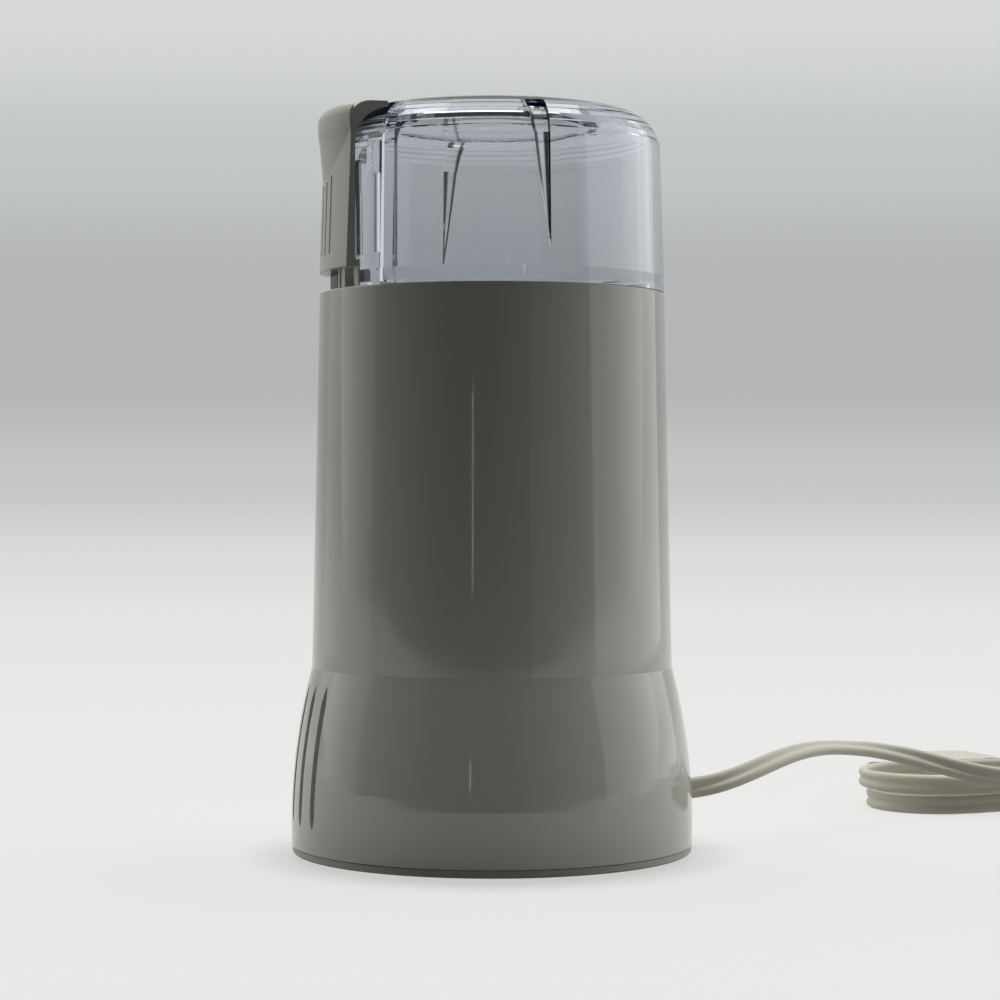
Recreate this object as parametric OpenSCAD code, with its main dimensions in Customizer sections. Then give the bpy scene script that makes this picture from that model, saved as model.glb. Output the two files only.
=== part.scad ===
// Vertical blade grinder for spices and coffee beans. A steel bowl and a
// series-wound motor stand in a moulded white shell. A clear lid covers the
// bowl and carries the bar at the front, which is pressed down to run the motor.
// Origin: centre of the base on the table. The front faces -Y, the cord leaves at +Y.

/* [Body shell] */
// Radius of the shell at its widest, just above the base
base_r = 50; // [49:0.5:54]
// Radius of the shell at its open top
top_r = 43; // [42.5:0.5:45]
// Height of the shell's open top above the table
shell_top = 139.8; // [136:0.2:146]
// Height at which the flared foot meets the tapered barrel
flare_top = 47; // [44:1:52]
// Radius of the barrel where it meets the flared foot
barrel_r = 44.9; // [44.6:0.1:46]
// Height at which the flare stands straight up
flare_foot = 8; // [6:1:10]
// Thickness of the shell's wall
shell_wall = 2.2; // [1.6:0.1:2.4]
// Height of the shell's lower edge above the table
shell_bottom = 3.2; // [3:0.1:4]

/* [Vents] */
// Number of upright slots at the front
vent_count = 5; // [3:2:7]
// Angle between neighbouring slots
vent_pitch = 8.9; // [8:0.1:11]
// Width of one slot
vent_w = 2.4; // [1.6:0.1:3]
// Height of the slots' lower ends
vent_bottom = 9; // [8:0.5:14]
// Height of the slots' upper ends
vent_top = 43.5; // [38:0.5:46]

/* [Lid] */
// Height of the whole grinder
total_h = 185; // [183:0.5:188]
// How much narrower the lid is at the foot of its shoulder
lid_taper = 1; // [0.5:0.1:1.5]
// Radius of the lid's rounded shoulder
lid_shoulder = 9.4; // [8:0.2:11]
// Thickness of the clear wall
lid_wall = 2.6; // [2:0.1:2.8]
// How much higher the lid's crown is at its middle
lid_crown = 0.5; // [0.2:0.1:1]
// Radius of the thicker disc under the crown
crown_disc_r = 27; // [22:0.5:30]
// How far the disc stands below the crown's underside
crown_disc_h = 0.7; // [0.4:0.1:1.2]
// Half angle of the recess for the switch bar
recess_half = 39.8; // [37:0.1:42]
// Depth of that recess
recess_depth = 2.3; // [2.1:0.1:2.6]
// Length of the lid's spigot inside the shell
spigot_h = 5; // [3:0.5:5.5]
// Width of a key rib at the recess
key_w = 6.5; // [5:0.1:7]
// How far a key rib's slanted upper end is below the grinder's top
key_drop = 11; // [9:0.5:20]
// Length of a grip flute from its pointed lower end to the grinder's top
flute_len = 37; // [29:0.5:39]
// Angle that a grip flute takes at the shoulder
flute_angle = 7.7; // [5:0.1:10]
// Depth of a grip flute at its steep side
flute_depth = 1.5; // [1:0.1:1.8]

/* [Switch bar] */
// Half width of the bar between its flat sides
bar_half = 17.1; // [15.5:0.1:17.5]
// Height of the bar's lower edge above the shell's top
bar_gap = 5; // [4.8:0.1:6]
// How far the bar travels when pressed
bar_travel = 1.8; // [1.2:0.1:2.2]
// How far the thumb nose stands out
nose_out = 1.3; // [0.8:0.1:1.6]
// Height of the nose from its lower point to the grinder's top
nose_h = 18; // [15:0.5:21]
// Radius of the nose seen from above
nose_curve = 31; // [29:0.5:34]
// Number of grip grooves below the nose
groove_count = 5; // [3:2:7]
// Angle between the grip grooves
groove_pitch = 5.2; // [4.5:0.1:6]
// Width of a grip groove
groove_w = 1.1; // [0.8:0.1:1.4]
// Depth of a grip groove
groove_depth = 0.6; // [0.4:0.1:0.8]

/* [Grinding bowl and blade] */
// How far the steel bowl's wall stands inside the shell's upper edge
bowl_inset = 9.8; // [9.6:0.2:12]
// Depth of the bowl from its rim to its floor
bowl_depth = 41; // [38:0.5:43]
// Thickness of the bowl's sheet
bowl_sheet = 0.6; // [0.5:0.1:0.8]
// Radius of the bend between the bowl's wall and its floor
bowl_bend = 9; // [6:0.5:12]
// Length of the blade from tip to tip
blade_len = 54; // [48:1:60]
// Width of the blade
blade_w = 9; // [8:0.5:11]
// Thickness of the blade
blade_t = 1.4; // [1.2:0.1:1.8]
// Height of the blade above the bowl's floor
blade_lift = 8; // [7.5:0.5:10]
// Angle at which the blade's tips are bent
blade_bend = 22; // [10:1:30]

/* [Motor] */
// Radius of the motor's shaft
shaft_r = 2.5; // [2.2:0.1:2.8]
// Radius of the armature's core
rotor_r = 15.8; // [14.5:0.1:17]
// Air gap between the armature and the field core
air_gap = 0.5; // [0.4:0.1:0.8]
// Thickness of the stack of laminations
stack_h = 26; // [20:1:28]
// Height of the stack's lower face
stack_z = 48; // [47:0.5:50]
// Width of the field core
field_w = 58; // [54:1:60]
// Depth of the field core
field_d = 46; // [42:1:48]
// Number of slots in the armature
rotor_slots = 12; // [9:1:14]
// Radius of the commutator
commutator_r = 8.5; // [7.5:0.1:10]
// Number of bars on the commutator
commutator_bars = 24; // [12:2:28]
// Radius of the cooling fan
fan_r = 23; // [20:0.5:26]
// Number of vanes on the cooling fan
fan_vanes = 9; // [7:1:13]
// Radial clearance of a shaft in its bush
running_clear = 0.05; // [0.02:0.01:0.09]

/* [Base and cord] */
// Height of the rubber feet below the base cover's rim
foot_h = 1.2; // [1:0.1:2]
// Radius of a rubber foot
foot_r = 5; // [4:0.5:6]
// Radius of the circle that the feet stand on
foot_circle = 36; // [33:0.5:37]
// Width of the flat two-core cord
cord_w = 5.3; // [4.6:0.1:5.4]
// Thickness of the flat two-core cord
cord_t = 2.6; // [2.2:0.1:2.7]

/* [Hidden] */
$fn = 96;

// Clearances shared by the pieces
gap = 0.3;               // between pieces that move past each other
seat_gap = 0.1;          // between pieces that are pushed together
eps = 0.01;              // lets a cut run past a face

// Profile of the shell
flare_drop = base_r - barrel_r;
flare_rise = flare_top - flare_foot;
flare_radius = (flare_drop * flare_drop + flare_rise * flare_rise) / (2 * flare_drop);
edge_round = 0.5;
flare_steps = 14;

// Lid levels
lid_shoulder_z = total_h - lid_shoulder;
lid_top_r = top_r - lid_taper;            // at the foot of the shoulder
lid_shoulder_x = lid_top_r - lid_shoulder;
recess_r = top_r - recess_depth;          // recess floor, upright so that the bar slides on it
recess_round = recess_r - lid_shoulder_x;
recess_round_z = lid_shoulder_z - lid_crown - bar_travel; // leaves the bar's cap its travel
recess_wall_t = lid_wall * 0.9;
bar_tip_r = lid_shoulder_x + 1.3;         // where the bar's cap ends on the shoulder
recess_end_r = bar_tip_r - gap - 0.2;
key_top = total_h - key_drop;
flute_tip = total_h - flute_len;
nose_point = total_h - nose_h;
notch_top = shell_top + bar_gap + 2.6;    // opening in the recess that the bar's stem fills
spigot_r = top_r - shell_wall - gap;
spigot_in = spigot_r - 1.6;
key_angle = 33;                           // each side of the front

// Well that holds the bowl
bowl_r = top_r - bowl_inset;              // inner radius of the bowl
rim_z = shell_top - 1.4;                  // upper face of the bowl's rolled rim
bowl_out_r = bowl_r + bowl_sheet;
bowl_floor = rim_z - bowl_depth;
well_r = bowl_out_r + 0.4;                // inside of the well
well_wall = 1.7;
well_out = well_r + well_wall;
well_floor_t = 2.4;
well_floor = bowl_floor - bowl_sheet - well_floor_t - 0.2;
deck_t = 2.4;
deck_z = shell_top - spigot_h - 1.2 - deck_t;
ledge_t = 2;
stem_in = well_out + 1.3;                 // inner radius of the bar's stem
shell_in_top = top_r - shell_wall;
stem_clear = 0.5;                         // between the bar's stem and the shell
stem_out = shell_in_top - stem_clear;
stem_bottom = deck_z - 5;
stem_side = bar_half;
spring_z = stem_bottom - 15;              // seat of the bar's springs
spring_angle = 18.5;
spring_wire = 0.6;
spring_r = 1.25;
pin_r = 1.3;
pin_radius_at = well_out + pin_r + 0.5;
pin_seat_h = 13;                          // from the spring's seat to the pin's flange

// Motor levels
coil_out = rotor_r + air_gap + 6.9;       // outer side of the field coils
stack_top = stack_z + stack_h;
winding_h = 6;
commutator_h = 9;
commutator_z = stack_z - winding_h - 2 - commutator_h;
lower_plate_z = commutator_z - 5.5;
plate_t = 1.6;
upper_plate_z = stack_top + winding_h + 2;
fan_z = lower_plate_z - 12.6;
fan_h = 6;
shaft_bottom = fan_z - 2;
blade_z = bowl_floor + blade_lift;
hub_t = 3;
shaft_top = blade_z + blade_t + 3.4;
bush_h = 6;
bush_r = 5.5;
mount_x = 22;                             // motor screws, from the axis
mount_y = 17.5;
mount_h = well_floor - upper_plate_z - plate_t;
screw_r = 1.75;
brush_w = 5;
brush_z = commutator_z + commutator_h / 2;
brush_gap = 0.15;
brush_len = 11;
brush_box = 1;
lead_r = 0.9;
terminal_drop = 4;                        // from the switch's underside to its tabs' ends
coil_drop = 5;                            // from the stack down to the coils' lower side

// Switch
switch_w = 19.8;
switch_d = 6.4;
switch_h = 10.2;
switch_y = -33.5;
switch_z = 58;
lever_len = 16;
lever_t = 0.5;
lever_pivot_x = -7.5;
lever_pivot_z = switch_z + switch_h + 1.6;
lever_tilt = 20;
rod_half = 5.4;
rod_tip_half = 2;
rod_tip_x = 4.5;
lever_tip_z = lever_pivot_z + (rod_tip_x - lever_pivot_x) * tan(lever_tilt);
rod_bottom = lever_tip_z + 0.45;

// Base
cover_bottom = foot_h;
cover_rim_h = shell_bottom - cover_bottom - 0.2;
cover_t = 2;
cover_r = base_r - 0.3;
cover_spigot_r = base_r - shell_wall - 0.35;
boss_angles = [20, 160, 200, 340];
boss_circle = 41.5;
boss_r = 3.6;
boss_top = 22;
boss_hole_r = 1.3;
base_screw_head_r = 3.1;
base_screw_len = 12;

// Cord route outside the shell, each point in millimetres
cord_route = [
    [0, 42, 15], [0, 47, 15], [0, 52, 15.2], [-0.6, 58, 16], [-2.4, 64, 17.3],
    [-5.4, 70, 18.8], [-9.4, 76, 20.2], [-14, 82, 21.3], [-18.8, 88, 21.9],
    [-23.6, 94, 22], [-28.2, 100, 21.6], [-32.5, 106.4, 20.9], [-36.3, 113, 20],
    [-39.5, 120, 18.7], [-41.8, 127.5, 17], [-43.2, 135, 15], [-44, 143, 12.9],
    [-44.7, 151, 11.2], [-46.3, 159, 10], [-48.2, 167, 9.3], [-49.7, 175, 9.1],
    [-50.3, 183, 9], [-49.7, 191, 9], [-48.2, 199, 8.8], [-46.4, 207, 8.6],
    [-45, 215, 8.5], [-44.6, 222.4, 8.5]
];
cord_z = cord_route[0][2];                // height at which the cord leaves the shell
clamp_wall = 1.6;
hank_x = -66;                             // middle line of the hank
hank_y = 142.4;                           // start of its straight runs
hank_run = 80;
hank_fold = 16;                           // smallest radius of a fold
hank_step = 3.8;                          // sideways step from turn to turn
hank_layer = 5.85;
hank_low = 2.68;
hank_waist = 6;
hank_start = 4 / 24;                      // the first fold of the upper layer
hank_turn_back = 38 / 24;                 // where the spiral reverses and sinks
hank_end = 60 / 24;
hank_rings_per_turn = 24;
hank_lift = 0.5;                          // the tie's strap raises the runs by this much
plug_x = -100;                            // the plug lies flat beside the hank
plug_y = 184;
plug_len = 30;
plug_w = 25;
plug_t = 11;
plug_blade_t = 1.5;
plug_blade_gap = 12.7;
plug_blade_len = 16;
tail_steps = 8;

function arc(cx, cz, r, a0, a1, n) =
    [for (i = [0:n]) let (a = a0 + (a1 - a0) * i / n) [cx + r * cos(a), cz + r * sin(a)]];
function flare_x(z, inset) = base_r - flare_radius
    + sqrt(pow(flare_radius - inset, 2) - pow(z - flare_foot, 2));
function shell_side(inset, z_low) = concat(
    [[flare_x(z_low, inset), z_low]],
    [for (i = [0:flare_steps])
        let (z = flare_foot + (flare_top - flare_foot) * i / flare_steps)
        [flare_x(z, inset), z]]
);
// Point on the outside of the tapered lid, moved inwards by inset
function lid_r(z) = top_r + (lid_top_r - top_r) * (z - shell_top) / (lid_shoulder_z - shell_top);

// ---- Shell -----------------------------------------------------------------

module housing() {
    inner_low = shell_bottom;
    ledge_top = deck_z;
    color([0.90, 0.895, 0.87]) difference() {
        union() {
            rotate_extrude($fn = 180) polygon(concat(
                shell_side(0, shell_bottom),
                [[top_r, shell_top - edge_round]],
                arc(top_r - edge_round, shell_top - edge_round, edge_round, 20, 90, 4),
                [[top_r - shell_wall, shell_top]],
                [[top_r - shell_wall, deck_z + 0.1], [top_r - shell_wall - 1.6, deck_z],
                 [top_r - shell_wall - 1.6, deck_z - ledge_t],
                 [under_ledge_r, under_ledge_z]],
                [for (i = [flare_steps:-1:0])
                    let (z = flare_foot + (flare_top - flare_foot) * i / flare_steps)
                    [flare_x(z, shell_wall), z]],
                [[flare_x(inner_low, shell_wall), inner_low]]
            ));
            for (a = boss_angles) rotate([0, 0, a]) screw_boss();
        }
        for (a = boss_angles) rotate([0, 0, a])
            translate([boss_circle, 0, shell_bottom]) cylinder(r = boss_hole_r, h = 14, $fn = 32);
        vent_slots();
        stem_slot(deck_z - ledge_t - 3, deck_z + 1, shell_in_top + 0.3);
        cord_hole();
    }
}

// Boss that a base screw bites into, joined to the wall by a web
module screw_boss() {
    translate([boss_circle, 0, shell_bottom + cover_t + 1.4])
        cylinder(r = boss_r, h = boss_top - shell_bottom - cover_t - 1.4, $fn = 48);
    translate([boss_circle, -1, shell_bottom + cover_t + 1.4])
        cube([base_r - shell_wall - boss_circle + 0.9, 2, boss_top - shell_bottom - cover_t - 3]);
}

// Upright slots with pointed ends, side by side round the front
module vent_slots() {
    half = vent_w / 2;
    tip = vent_w * 1.1;
    for (i = [0:vent_count - 1])
        rotate([0, 0, (i - (vent_count - 1) / 2) * vent_pitch])
            translate([0, -barrel_r + shell_wall + 3, 0]) rotate([90, 0, 0])
                linear_extrude(base_r - barrel_r + 8) polygon([
                    [-half, vent_bottom + tip], [-half * 0.5, vent_bottom + tip * 0.25],
                    [0, vent_bottom], [half * 0.5, vent_bottom + tip * 0.25],
                    [half, vent_bottom + tip], [half, vent_top - tip * 1.6],
                    [half * 0.5, vent_top - tip * 0.5], [0, vent_top],
                    [-half * 0.5, vent_top - tip * 0.5], [-half, vent_top - tip * 1.6]
                ]);
}

// Space in the ledge and the deck that the bar's stem slides in
module stem_slot(z0, z1, reach) {
    intersection() {
        translate([-stem_side - gap, -reach - 1, z0])
            cube([2 * (stem_side + gap), reach - 29, z1 - z0]);
        difference() {
            translate([0, 0, z0]) cylinder(r = reach, h = z1 - z0, $fn = 144);
            translate([0, 0, z0 - 1]) cylinder(r = stem_in - gap, h = z1 - z0 + 2, $fn = 144);
        }
    }
}

module cord_hole() {
    translate([0, base_r + 1, cord_z]) rotate([90, 0, 0]) linear_extrude(8)
        flat_slot(cord_w + 0.6, cord_t + 0.6);
}

// Upright oblong with round ends
module flat_slot(w, t) {
    for (s = [-1, 1]) translate([0, s * (w - t) / 2]) circle(d = t, $fn = 32);
    square([t, w - t], center = true);
}

// ---- Bowl and its well -----------------------------------------------------

module bowl_well() {
    lip_top = rim_z - bowl_sheet;
    lip_out = well_r + 1.5;
    seat_out = min(stem_out - 0.2, shell_in(spring_z - 1.6) - gap - seat_gap);
    color([0.86, 0.855, 0.83]) difference() {
        union() {
            rotate_extrude($fn = 144) polygon([
                [10, well_floor], [well_out, well_floor], [well_out, deck_z],
                [shell_in_top - seat_gap, deck_z + 0.2], [shell_in_top - seat_gap, deck_z + deck_t],
                [lip_out, deck_z + deck_t], [lip_out, lip_top], [well_r, lip_top],
                [well_r, well_floor + well_floor_t], [10, well_floor + well_floor_t]
            ]);
            for (a = [-spring_angle, spring_angle, key_angle]) rotate([0, 0, a])
                translate([-2.2, -seat_out, spring_z - 1.6])
                    cube([4.4, seat_out - well_out + 0.8, 1.6]);
        }
        stem_slot(deck_z - 1, deck_z + deck_t + 1, shell_in_top + 2);
        rotate([0, 0, key_angle]) translate([0, -pin_radius_at, deck_z - 1])
            cylinder(r = pin_r + running_clear, h = deck_t + 2, $fn = 48);
        for (x = [-mount_x, mount_x], y = [-mount_y, mount_y])
            translate([x, y, well_floor - eps]) cylinder(r = screw_r + 0.15, h = 8, $fn = 32);
    }
}

module grinding_bowl() {
    z0 = bowl_floor;
    color([0.74, 0.75, 0.76]) rotate_extrude($fn = 144) polygon(concat(
        [[bowl_r, rim_z - 1.2], [bowl_r + 0.3, rim_z - 0.4], [bowl_r + 1, rim_z],
         [well_r + 1.7, rim_z], [well_r + 1.7, rim_z - bowl_sheet],
         [bowl_out_r + 0.3, rim_z - bowl_sheet], [bowl_out_r, rim_z - bowl_sheet - 0.9]],
        arc(bowl_r - bowl_bend, z0 + bowl_bend, bowl_bend + bowl_sheet, 0, -90, 10),
        [[12, z0 - bowl_sheet], [9.6, z0 + 2], [seal_out + seat_gap, z0 + 2.4],
         [seal_out + seat_gap, z0 + 2.4 + bowl_sheet], [9.9, z0 + 2.6], [12.4, z0]],
        arc(bowl_r - bowl_bend, z0 + bowl_bend, bowl_bend, -90, 0, 10)
    ));
}

seal_out = 5.4;
module bowl_seal() {
    z0 = well_floor + 0.6;
    color([0.12, 0.12, 0.12]) rotate_extrude($fn = 72) polygon([
        [shaft_r + running_clear, z0], [seal_out, z0], [seal_out, bowl_floor + 3.2],
        [seal_out - 0.6, bowl_floor + 3.8], [shaft_r + 1.4, bowl_floor + 4.6],
        [shaft_r + running_clear, bowl_floor + 4.6]
    ]);
}

// ---- Base ------------------------------------------------------------------

module base_cover() {
    z0 = cover_bottom;
    top = z0 + cover_rim_h;
    color([0.80, 0.80, 0.785]) difference() {
        union() {
            rotate_extrude($fn = 180) polygon([
                [0, z0 + 0.8], [cover_r - 4, z0 + 0.8], [cover_r - 3, z0], [cover_r - 0.4, z0],
                [cover_r, z0 + 0.4], [cover_r, top], [cover_spigot_r, top],
                [cover_spigot_r - 0.2, top + 3.4], [cover_spigot_r - 1.6, top + 3.4],
                [cover_spigot_r - 1.8, top + 1], [0, top + 1]
            ]);
            for (a = [0:90:270]) rotate([0, 0, a + 45]) translate([foot_circle, 0, z0])
                cylinder(r = foot_r + 1.5, h = 1.6, $fn = 64);
            for (s = [-1, 1]) translate([s * 7, 31, z0 + 1])
                cylinder(r = 3, h = cord_z - cord_w / 2 - clamp_wall - z0 - 1, $fn = 48);
        }
        for (a = [0:90:270]) rotate([0, 0, a + 45]) translate([foot_circle, 0, z0 - eps])
            cylinder(r = foot_r + seat_gap, h = 1.3, $fn = 64);
        for (a = boss_angles) rotate([0, 0, a]) translate([boss_circle, 0, 0]) {
            cylinder(r = 1.7, h = 12, $fn = 32);
            cylinder(r = 3.4, h = z0 + 1.8, $fn = 48);
        }
        for (s = [-1, 1]) translate([s * 7, 31, z0 + 3.4])
            cylinder(r = 1, h = 12, $fn = 32);
        for (ring = [9, 15, 21], a = [0:360 / (ring == 9 ? 8 : 12):359])
            rotate([0, 0, a]) translate([ring, 0, 0]) cylinder(r = 1.6, h = 12, $fn = 32);
    }
}

// Pan-head screw, head down, its shank reaching up
module screw(head_r, head_h, shank_r, shank_h) {
    difference() {
        union() {
            cylinder(r = head_r, h = head_h, $fn = 48);
            cylinder(r = shank_r, h = head_h + shank_h, $fn = 32);
        }
        for (a = [0, 90]) rotate([0, 0, a])
            translate([-head_r * 0.6, -0.35, -eps]) cube([head_r * 1.2, 0.7, head_h * 0.6]);
    }
}

module base_screws() {
    color([0.62, 0.62, 0.63]) for (a = boss_angles) rotate([0, 0, a])
        translate([boss_circle, 0, cover_bottom + 0.1])
            screw(base_screw_head_r, 1.7, boss_hole_r, base_screw_len);
}

module rubber_feet() {
    color([0.16, 0.16, 0.16]) for (a = [0:90:270]) rotate([0, 0, a + 45])
        translate([foot_circle, 0, 0]) rotate_extrude($fn = 64) polygon([
            [0, 0], [foot_r - 0.9, 0], [foot_r - 0.3, 0.3], [foot_r, 0.9],
            [foot_r, cover_bottom + 1.2], [0, cover_bottom + 1.2]
        ]);
}

// ---- Lid -------------------------------------------------------------------

module lid() {
    // The shoulder lies a crown's height lower, so that the middle is the highest point
    color([0.80, 0.79, 0.86, 0.45]) difference() {
        union() {
            difference() {
                union() {
                    rotate_extrude($fn = 180) polygon(concat(lid_solid(0), [[0, shell_top]]));
                    translate([0, 0, shell_top - spigot_h])
                        cylinder(r = spigot_r, h = spigot_h + 1, $fn = 144);
                }
                lid_inside();
                lid_recess();
            }
            recess_wall();
            for (s = [-1, 1]) recess_end(s);
            for (s = [-1, 1]) key_rib(s);
        }
        for (a = [0, 180]) rotate([0, 0, a]) grip_flute();
        for (s = [-1, 1]) peg_slot(s);
        lid_notch();
        spigot_relief();
    }
}

// Outside of the clear shell, with its tapered wall and its domed shoulder
function lid_solid(inset) = concat(
    [[top_r - inset, shell_top], [lid_top_r - inset, lid_shoulder_z - lid_crown]],
    arc(lid_shoulder_x, lid_shoulder_z - lid_crown, lid_shoulder - inset, 10, 90, 8),
    [[crown_disc_r * 0.6, total_h - lid_crown * 0.3 - inset], [0, total_h - inset]]
);

// Space inside the clear wall, with the step round the crown's disc
module lid_inside() {
    low = shell_top - spigot_h - 1;
    round_in = lid_shoulder - lid_wall;
    z1 = lid_shoulder_z - lid_crown;
    under = total_h - lid_crown - lid_wall;
    rotate_extrude($fn = 180) polygon(concat(
        [[0, low], [spigot_in, low], [spigot_in, shell_top + 1.5],
         [lid_r(shell_top + 3.5) - lid_wall, shell_top + 3.5], [lid_top_r - lid_wall, z1]],
        arc(lid_shoulder_x, z1, round_in, 12, 90, 6),
        [[crown_disc_r, under], [crown_disc_r - 0.3, under - crown_disc_h],
         [0, under - crown_disc_h + 0.2]]
    ));
}

// Section of the space outside the recess floor
function recess_section() = concat(
    [[recess_r, shell_top - spigot_h - 1], [recess_r, recess_round_z]],
    arc(lid_shoulder_x, recess_round_z, recess_round, 12, recess_end_angle(), 6),
    [[recess_end_r, total_h + 2], [top_r + 5, total_h + 2],
     [top_r + 5, shell_top - spigot_h - 1]]
);

function recess_end_angle() = acos((recess_end_r - lid_shoulder_x) / recess_round);

// Line that follows the recess floor at a depth t, from its end under the crown to its foot
function recess_inside(t) = concat(
    [[recess_end_r - t, recess_round_z + recess_round - t]],
    arc(lid_shoulder_x, recess_round_z, recess_round - t, 90, 12, 6),
    [[recess_r - t, recess_round_z]]
);

module front_sector(half) {
    rotate([0, 0, -90 - half]) rotate_extrude(angle = 2 * half, $fn = 180) children();
}

module lid_recess() {
    front_sector(recess_half) polygon(recess_section());
}

// Floor of the recess, a second wall that follows it inside and rises to the crown
module recess_wall() {
    crown_mid = total_h - lid_crown - lid_wall / 2;
    front_sector(recess_half + 3.4) polygon(concat(
        [[recess_r, shell_top], [recess_r, recess_round_z]],
        arc(lid_shoulder_x, recess_round_z, recess_round, 12, recess_end_angle(), 6),
        [[recess_end_r, crown_mid], [recess_end_r - recess_wall_t, crown_mid]],
        recess_inside(recess_wall_t),
        [[recess_r - recess_wall_t, shell_top]]
    ));
}

// End wall that joins the lowered recess floor to the lid's outer skin
module recess_end(side) {
    inset = 0.4;
    deep = recess_wall_t - inset;
    angle = 2;
    start = recess_half + 0.3;
    z1 = lid_shoulder_z - lid_crown;
    low = recess_round_z - 6;
    rotate([0, 0, -90 + (side > 0 ? start : -start - angle)])
        rotate_extrude(angle = angle, $fn = 180) polygon(concat(
            [[recess_r - deep, low], [lid_r(low) - inset, low], [lid_top_r - inset, z1]],
            arc(lid_shoulder_x, z1, lid_shoulder - inset, 10, 90, 8),
            [[recess_end_r - deep, z1 + lid_shoulder - inset]],
            recess_inside(deep)
        ));
}

// Upright slot in the recess floor for one of the bar's pegs
module peg_slot(side) {
    half = peg_r + gap;
    rotate([0, 0, side * peg_angle])
        translate([-half, -recess_r - 1, peg_z - half - bar_travel])
            cube([2 * half, recess_wall_t + 2, 2 * half + bar_travel]);
}

// Half-round rib inside the recess floor, with a slanted top and a key tab below
module key_rib(side) {
    inner = recess_r - recess_wall_t + 0.4;
    tab_in = well_r + 1.7 + gap;
    rotate([0, 0, side * key_angle]) difference() {
        union() {
            difference() {
                translate([0, -inner, shell_top]) rib_bar(key_w / 2, 2.2, key_top + 3 - shell_top);
                translate([0, -inner, key_top]) rotate([24, 0, 0])
                    translate([-10, -10, 0]) cube([20, 20, 10]);
                translate([-0.5, -inner + 0.9, shell_top + 8]) cube([1, 4, 19]);
            }
            intersection() {
                translate([-key_w / 2, -spigot_r - 1, shell_top - spigot_h])
                    cube([key_w, 10, spigot_h + 2]);
                difference() {
                    cylinder(r = spigot_r, h = total_h, $fn = 144);
                    cylinder(r = tab_in, h = total_h, $fn = 144);
                }
            }
        }
    }
}

// Upright half-round bar: a circle segment of width 2a that stands out by b
module rib_bar(a, b, h) {
    r = (a * a + b * b) / (2 * b);
    intersection() {
        translate([0, b - r, 0]) cylinder(r = r, h = h, $fn = 64);
        translate([-a, -0.8, 0]) cube([2 * a, b + 1, h]);
    }
}

// Saw-tooth flute for the fingertips, steep on one side and pointed at its foot
module grip_flute() {
    steep = 7;                            // angle of the steep side past the lid's side
    top_z = total_h + 1;
    width = top_r * sin(flute_angle);
    rotate([0, 0, steep])
        translate([top_r, 0, flute_tip]) flute_wedge(width, top_z - flute_tip);
}

// Wedge with its point down: one upright face, one slanted face
module flute_wedge(width, height) {
    deep = flute_depth;
    lean = atan((top_r - lid_top_r) / (lid_shoulder_z - shell_top));
    rotate([0, -lean, 0]) intersection() {
        translate([-deep, 0, 0]) rotate([90, 0, 90]) linear_extrude(deep + 4)
            polygon([[0, 0], [0, height], [-width, height]]);
        rotate([0, 0, 0]) translate([0, 0, -1]) linear_extrude(height + 2)
            polygon([[-deep, 0], [4, 0], [4, -width - 1], [0.2, -width - 1]]);
    }
    shoulder_cut(width, height);
}

// Where the flute runs over the rounded shoulder it sinks with it
module shoulder_cut(width, height) {
    depth = flute_depth;
    z1 = lid_shoulder_z - lid_crown - flute_tip;
    x1 = lid_shoulder_x - top_r;
    intersection() {
        translate([0, 0, 0]) rotate([90, 0, 90]) translate([0, 0, x1 + 2])
            linear_extrude(-x1 + 6) polygon([[0, 0], [0, height + 2], [-width, height + 2]]);
        translate([x1, 1, z1]) rotate([90, 0, 0]) linear_extrude(width + 2) difference() {
            polygon([[0, 0], [20, 0], [20, 20], [lid_shoulder * 0.5, 20], [lid_shoulder * 0.5, 0]]);
            circle(r = lid_shoulder - depth, $fn = 96);
        }
    }
}

// Opening at the recess's foot, where the bar's stem stands
module lid_notch() {
    w = bar_half + 1.2;
    translate([-w, -top_r - 2, shell_top - spigot_h - 2])
        cube([2 * w, top_r + 2 - stem_in * cos(27) + 1.2, notch_top - shell_top + spigot_h + 2]);
}

// The spigot leaves the front free on both sides of the stem, apart from the key tabs
module spigot_relief() {
    low = shell_top - spigot_h - 1;
    for (s = [-1, 1]) rotate([0, 0, s * key_angle])
        for (t = [-1, 1]) rotate([0, 0, t * (key_w / spigot_r * 57.3 / 2 + 1.6)])
            translate([-0.8, -top_r, low]) cube([1.6, 6, spigot_h + 0.8]);
}

// ---- Switch bar ------------------------------------------------------------

bar_in = recess_r + gap;                  // inside of the bar's plate
bar_bottom = shell_top + bar_gap;
bar_round_z = lid_shoulder_z - lid_crown;
bar_round = recess_round + gap;
peg_r = 1.4;                              // pegs that hold the bar on the lid
peg_angle = 12;
peg_land = 1.5;                           // wall between the notch and a peg's slot
peg_z = max((bar_bottom + nose_point) / 2, notch_top + peg_land + bar_travel + gap + peg_r);

// Section of the curved plate with its cap over the lid's shoulder
function bar_section() = concat(
    [[bar_in, bar_bottom], [top_r, bar_bottom], [lid_r(bar_round_z), bar_round_z],
     [lid_r(bar_round_z), total_h - 4.6]],
    arc(lid_r(bar_round_z) - 4.4, total_h - 4.6, 4.4, 15, 90, 5),
    [[bar_tip_r, total_h - 0.2], [bar_tip_r, bar_round_z + bar_round * sin(82)]],
    arc(lid_shoulder_x, bar_round_z, bar_round, 80, 12, 6),
    [[bar_in, bar_round_z]]
);

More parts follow.
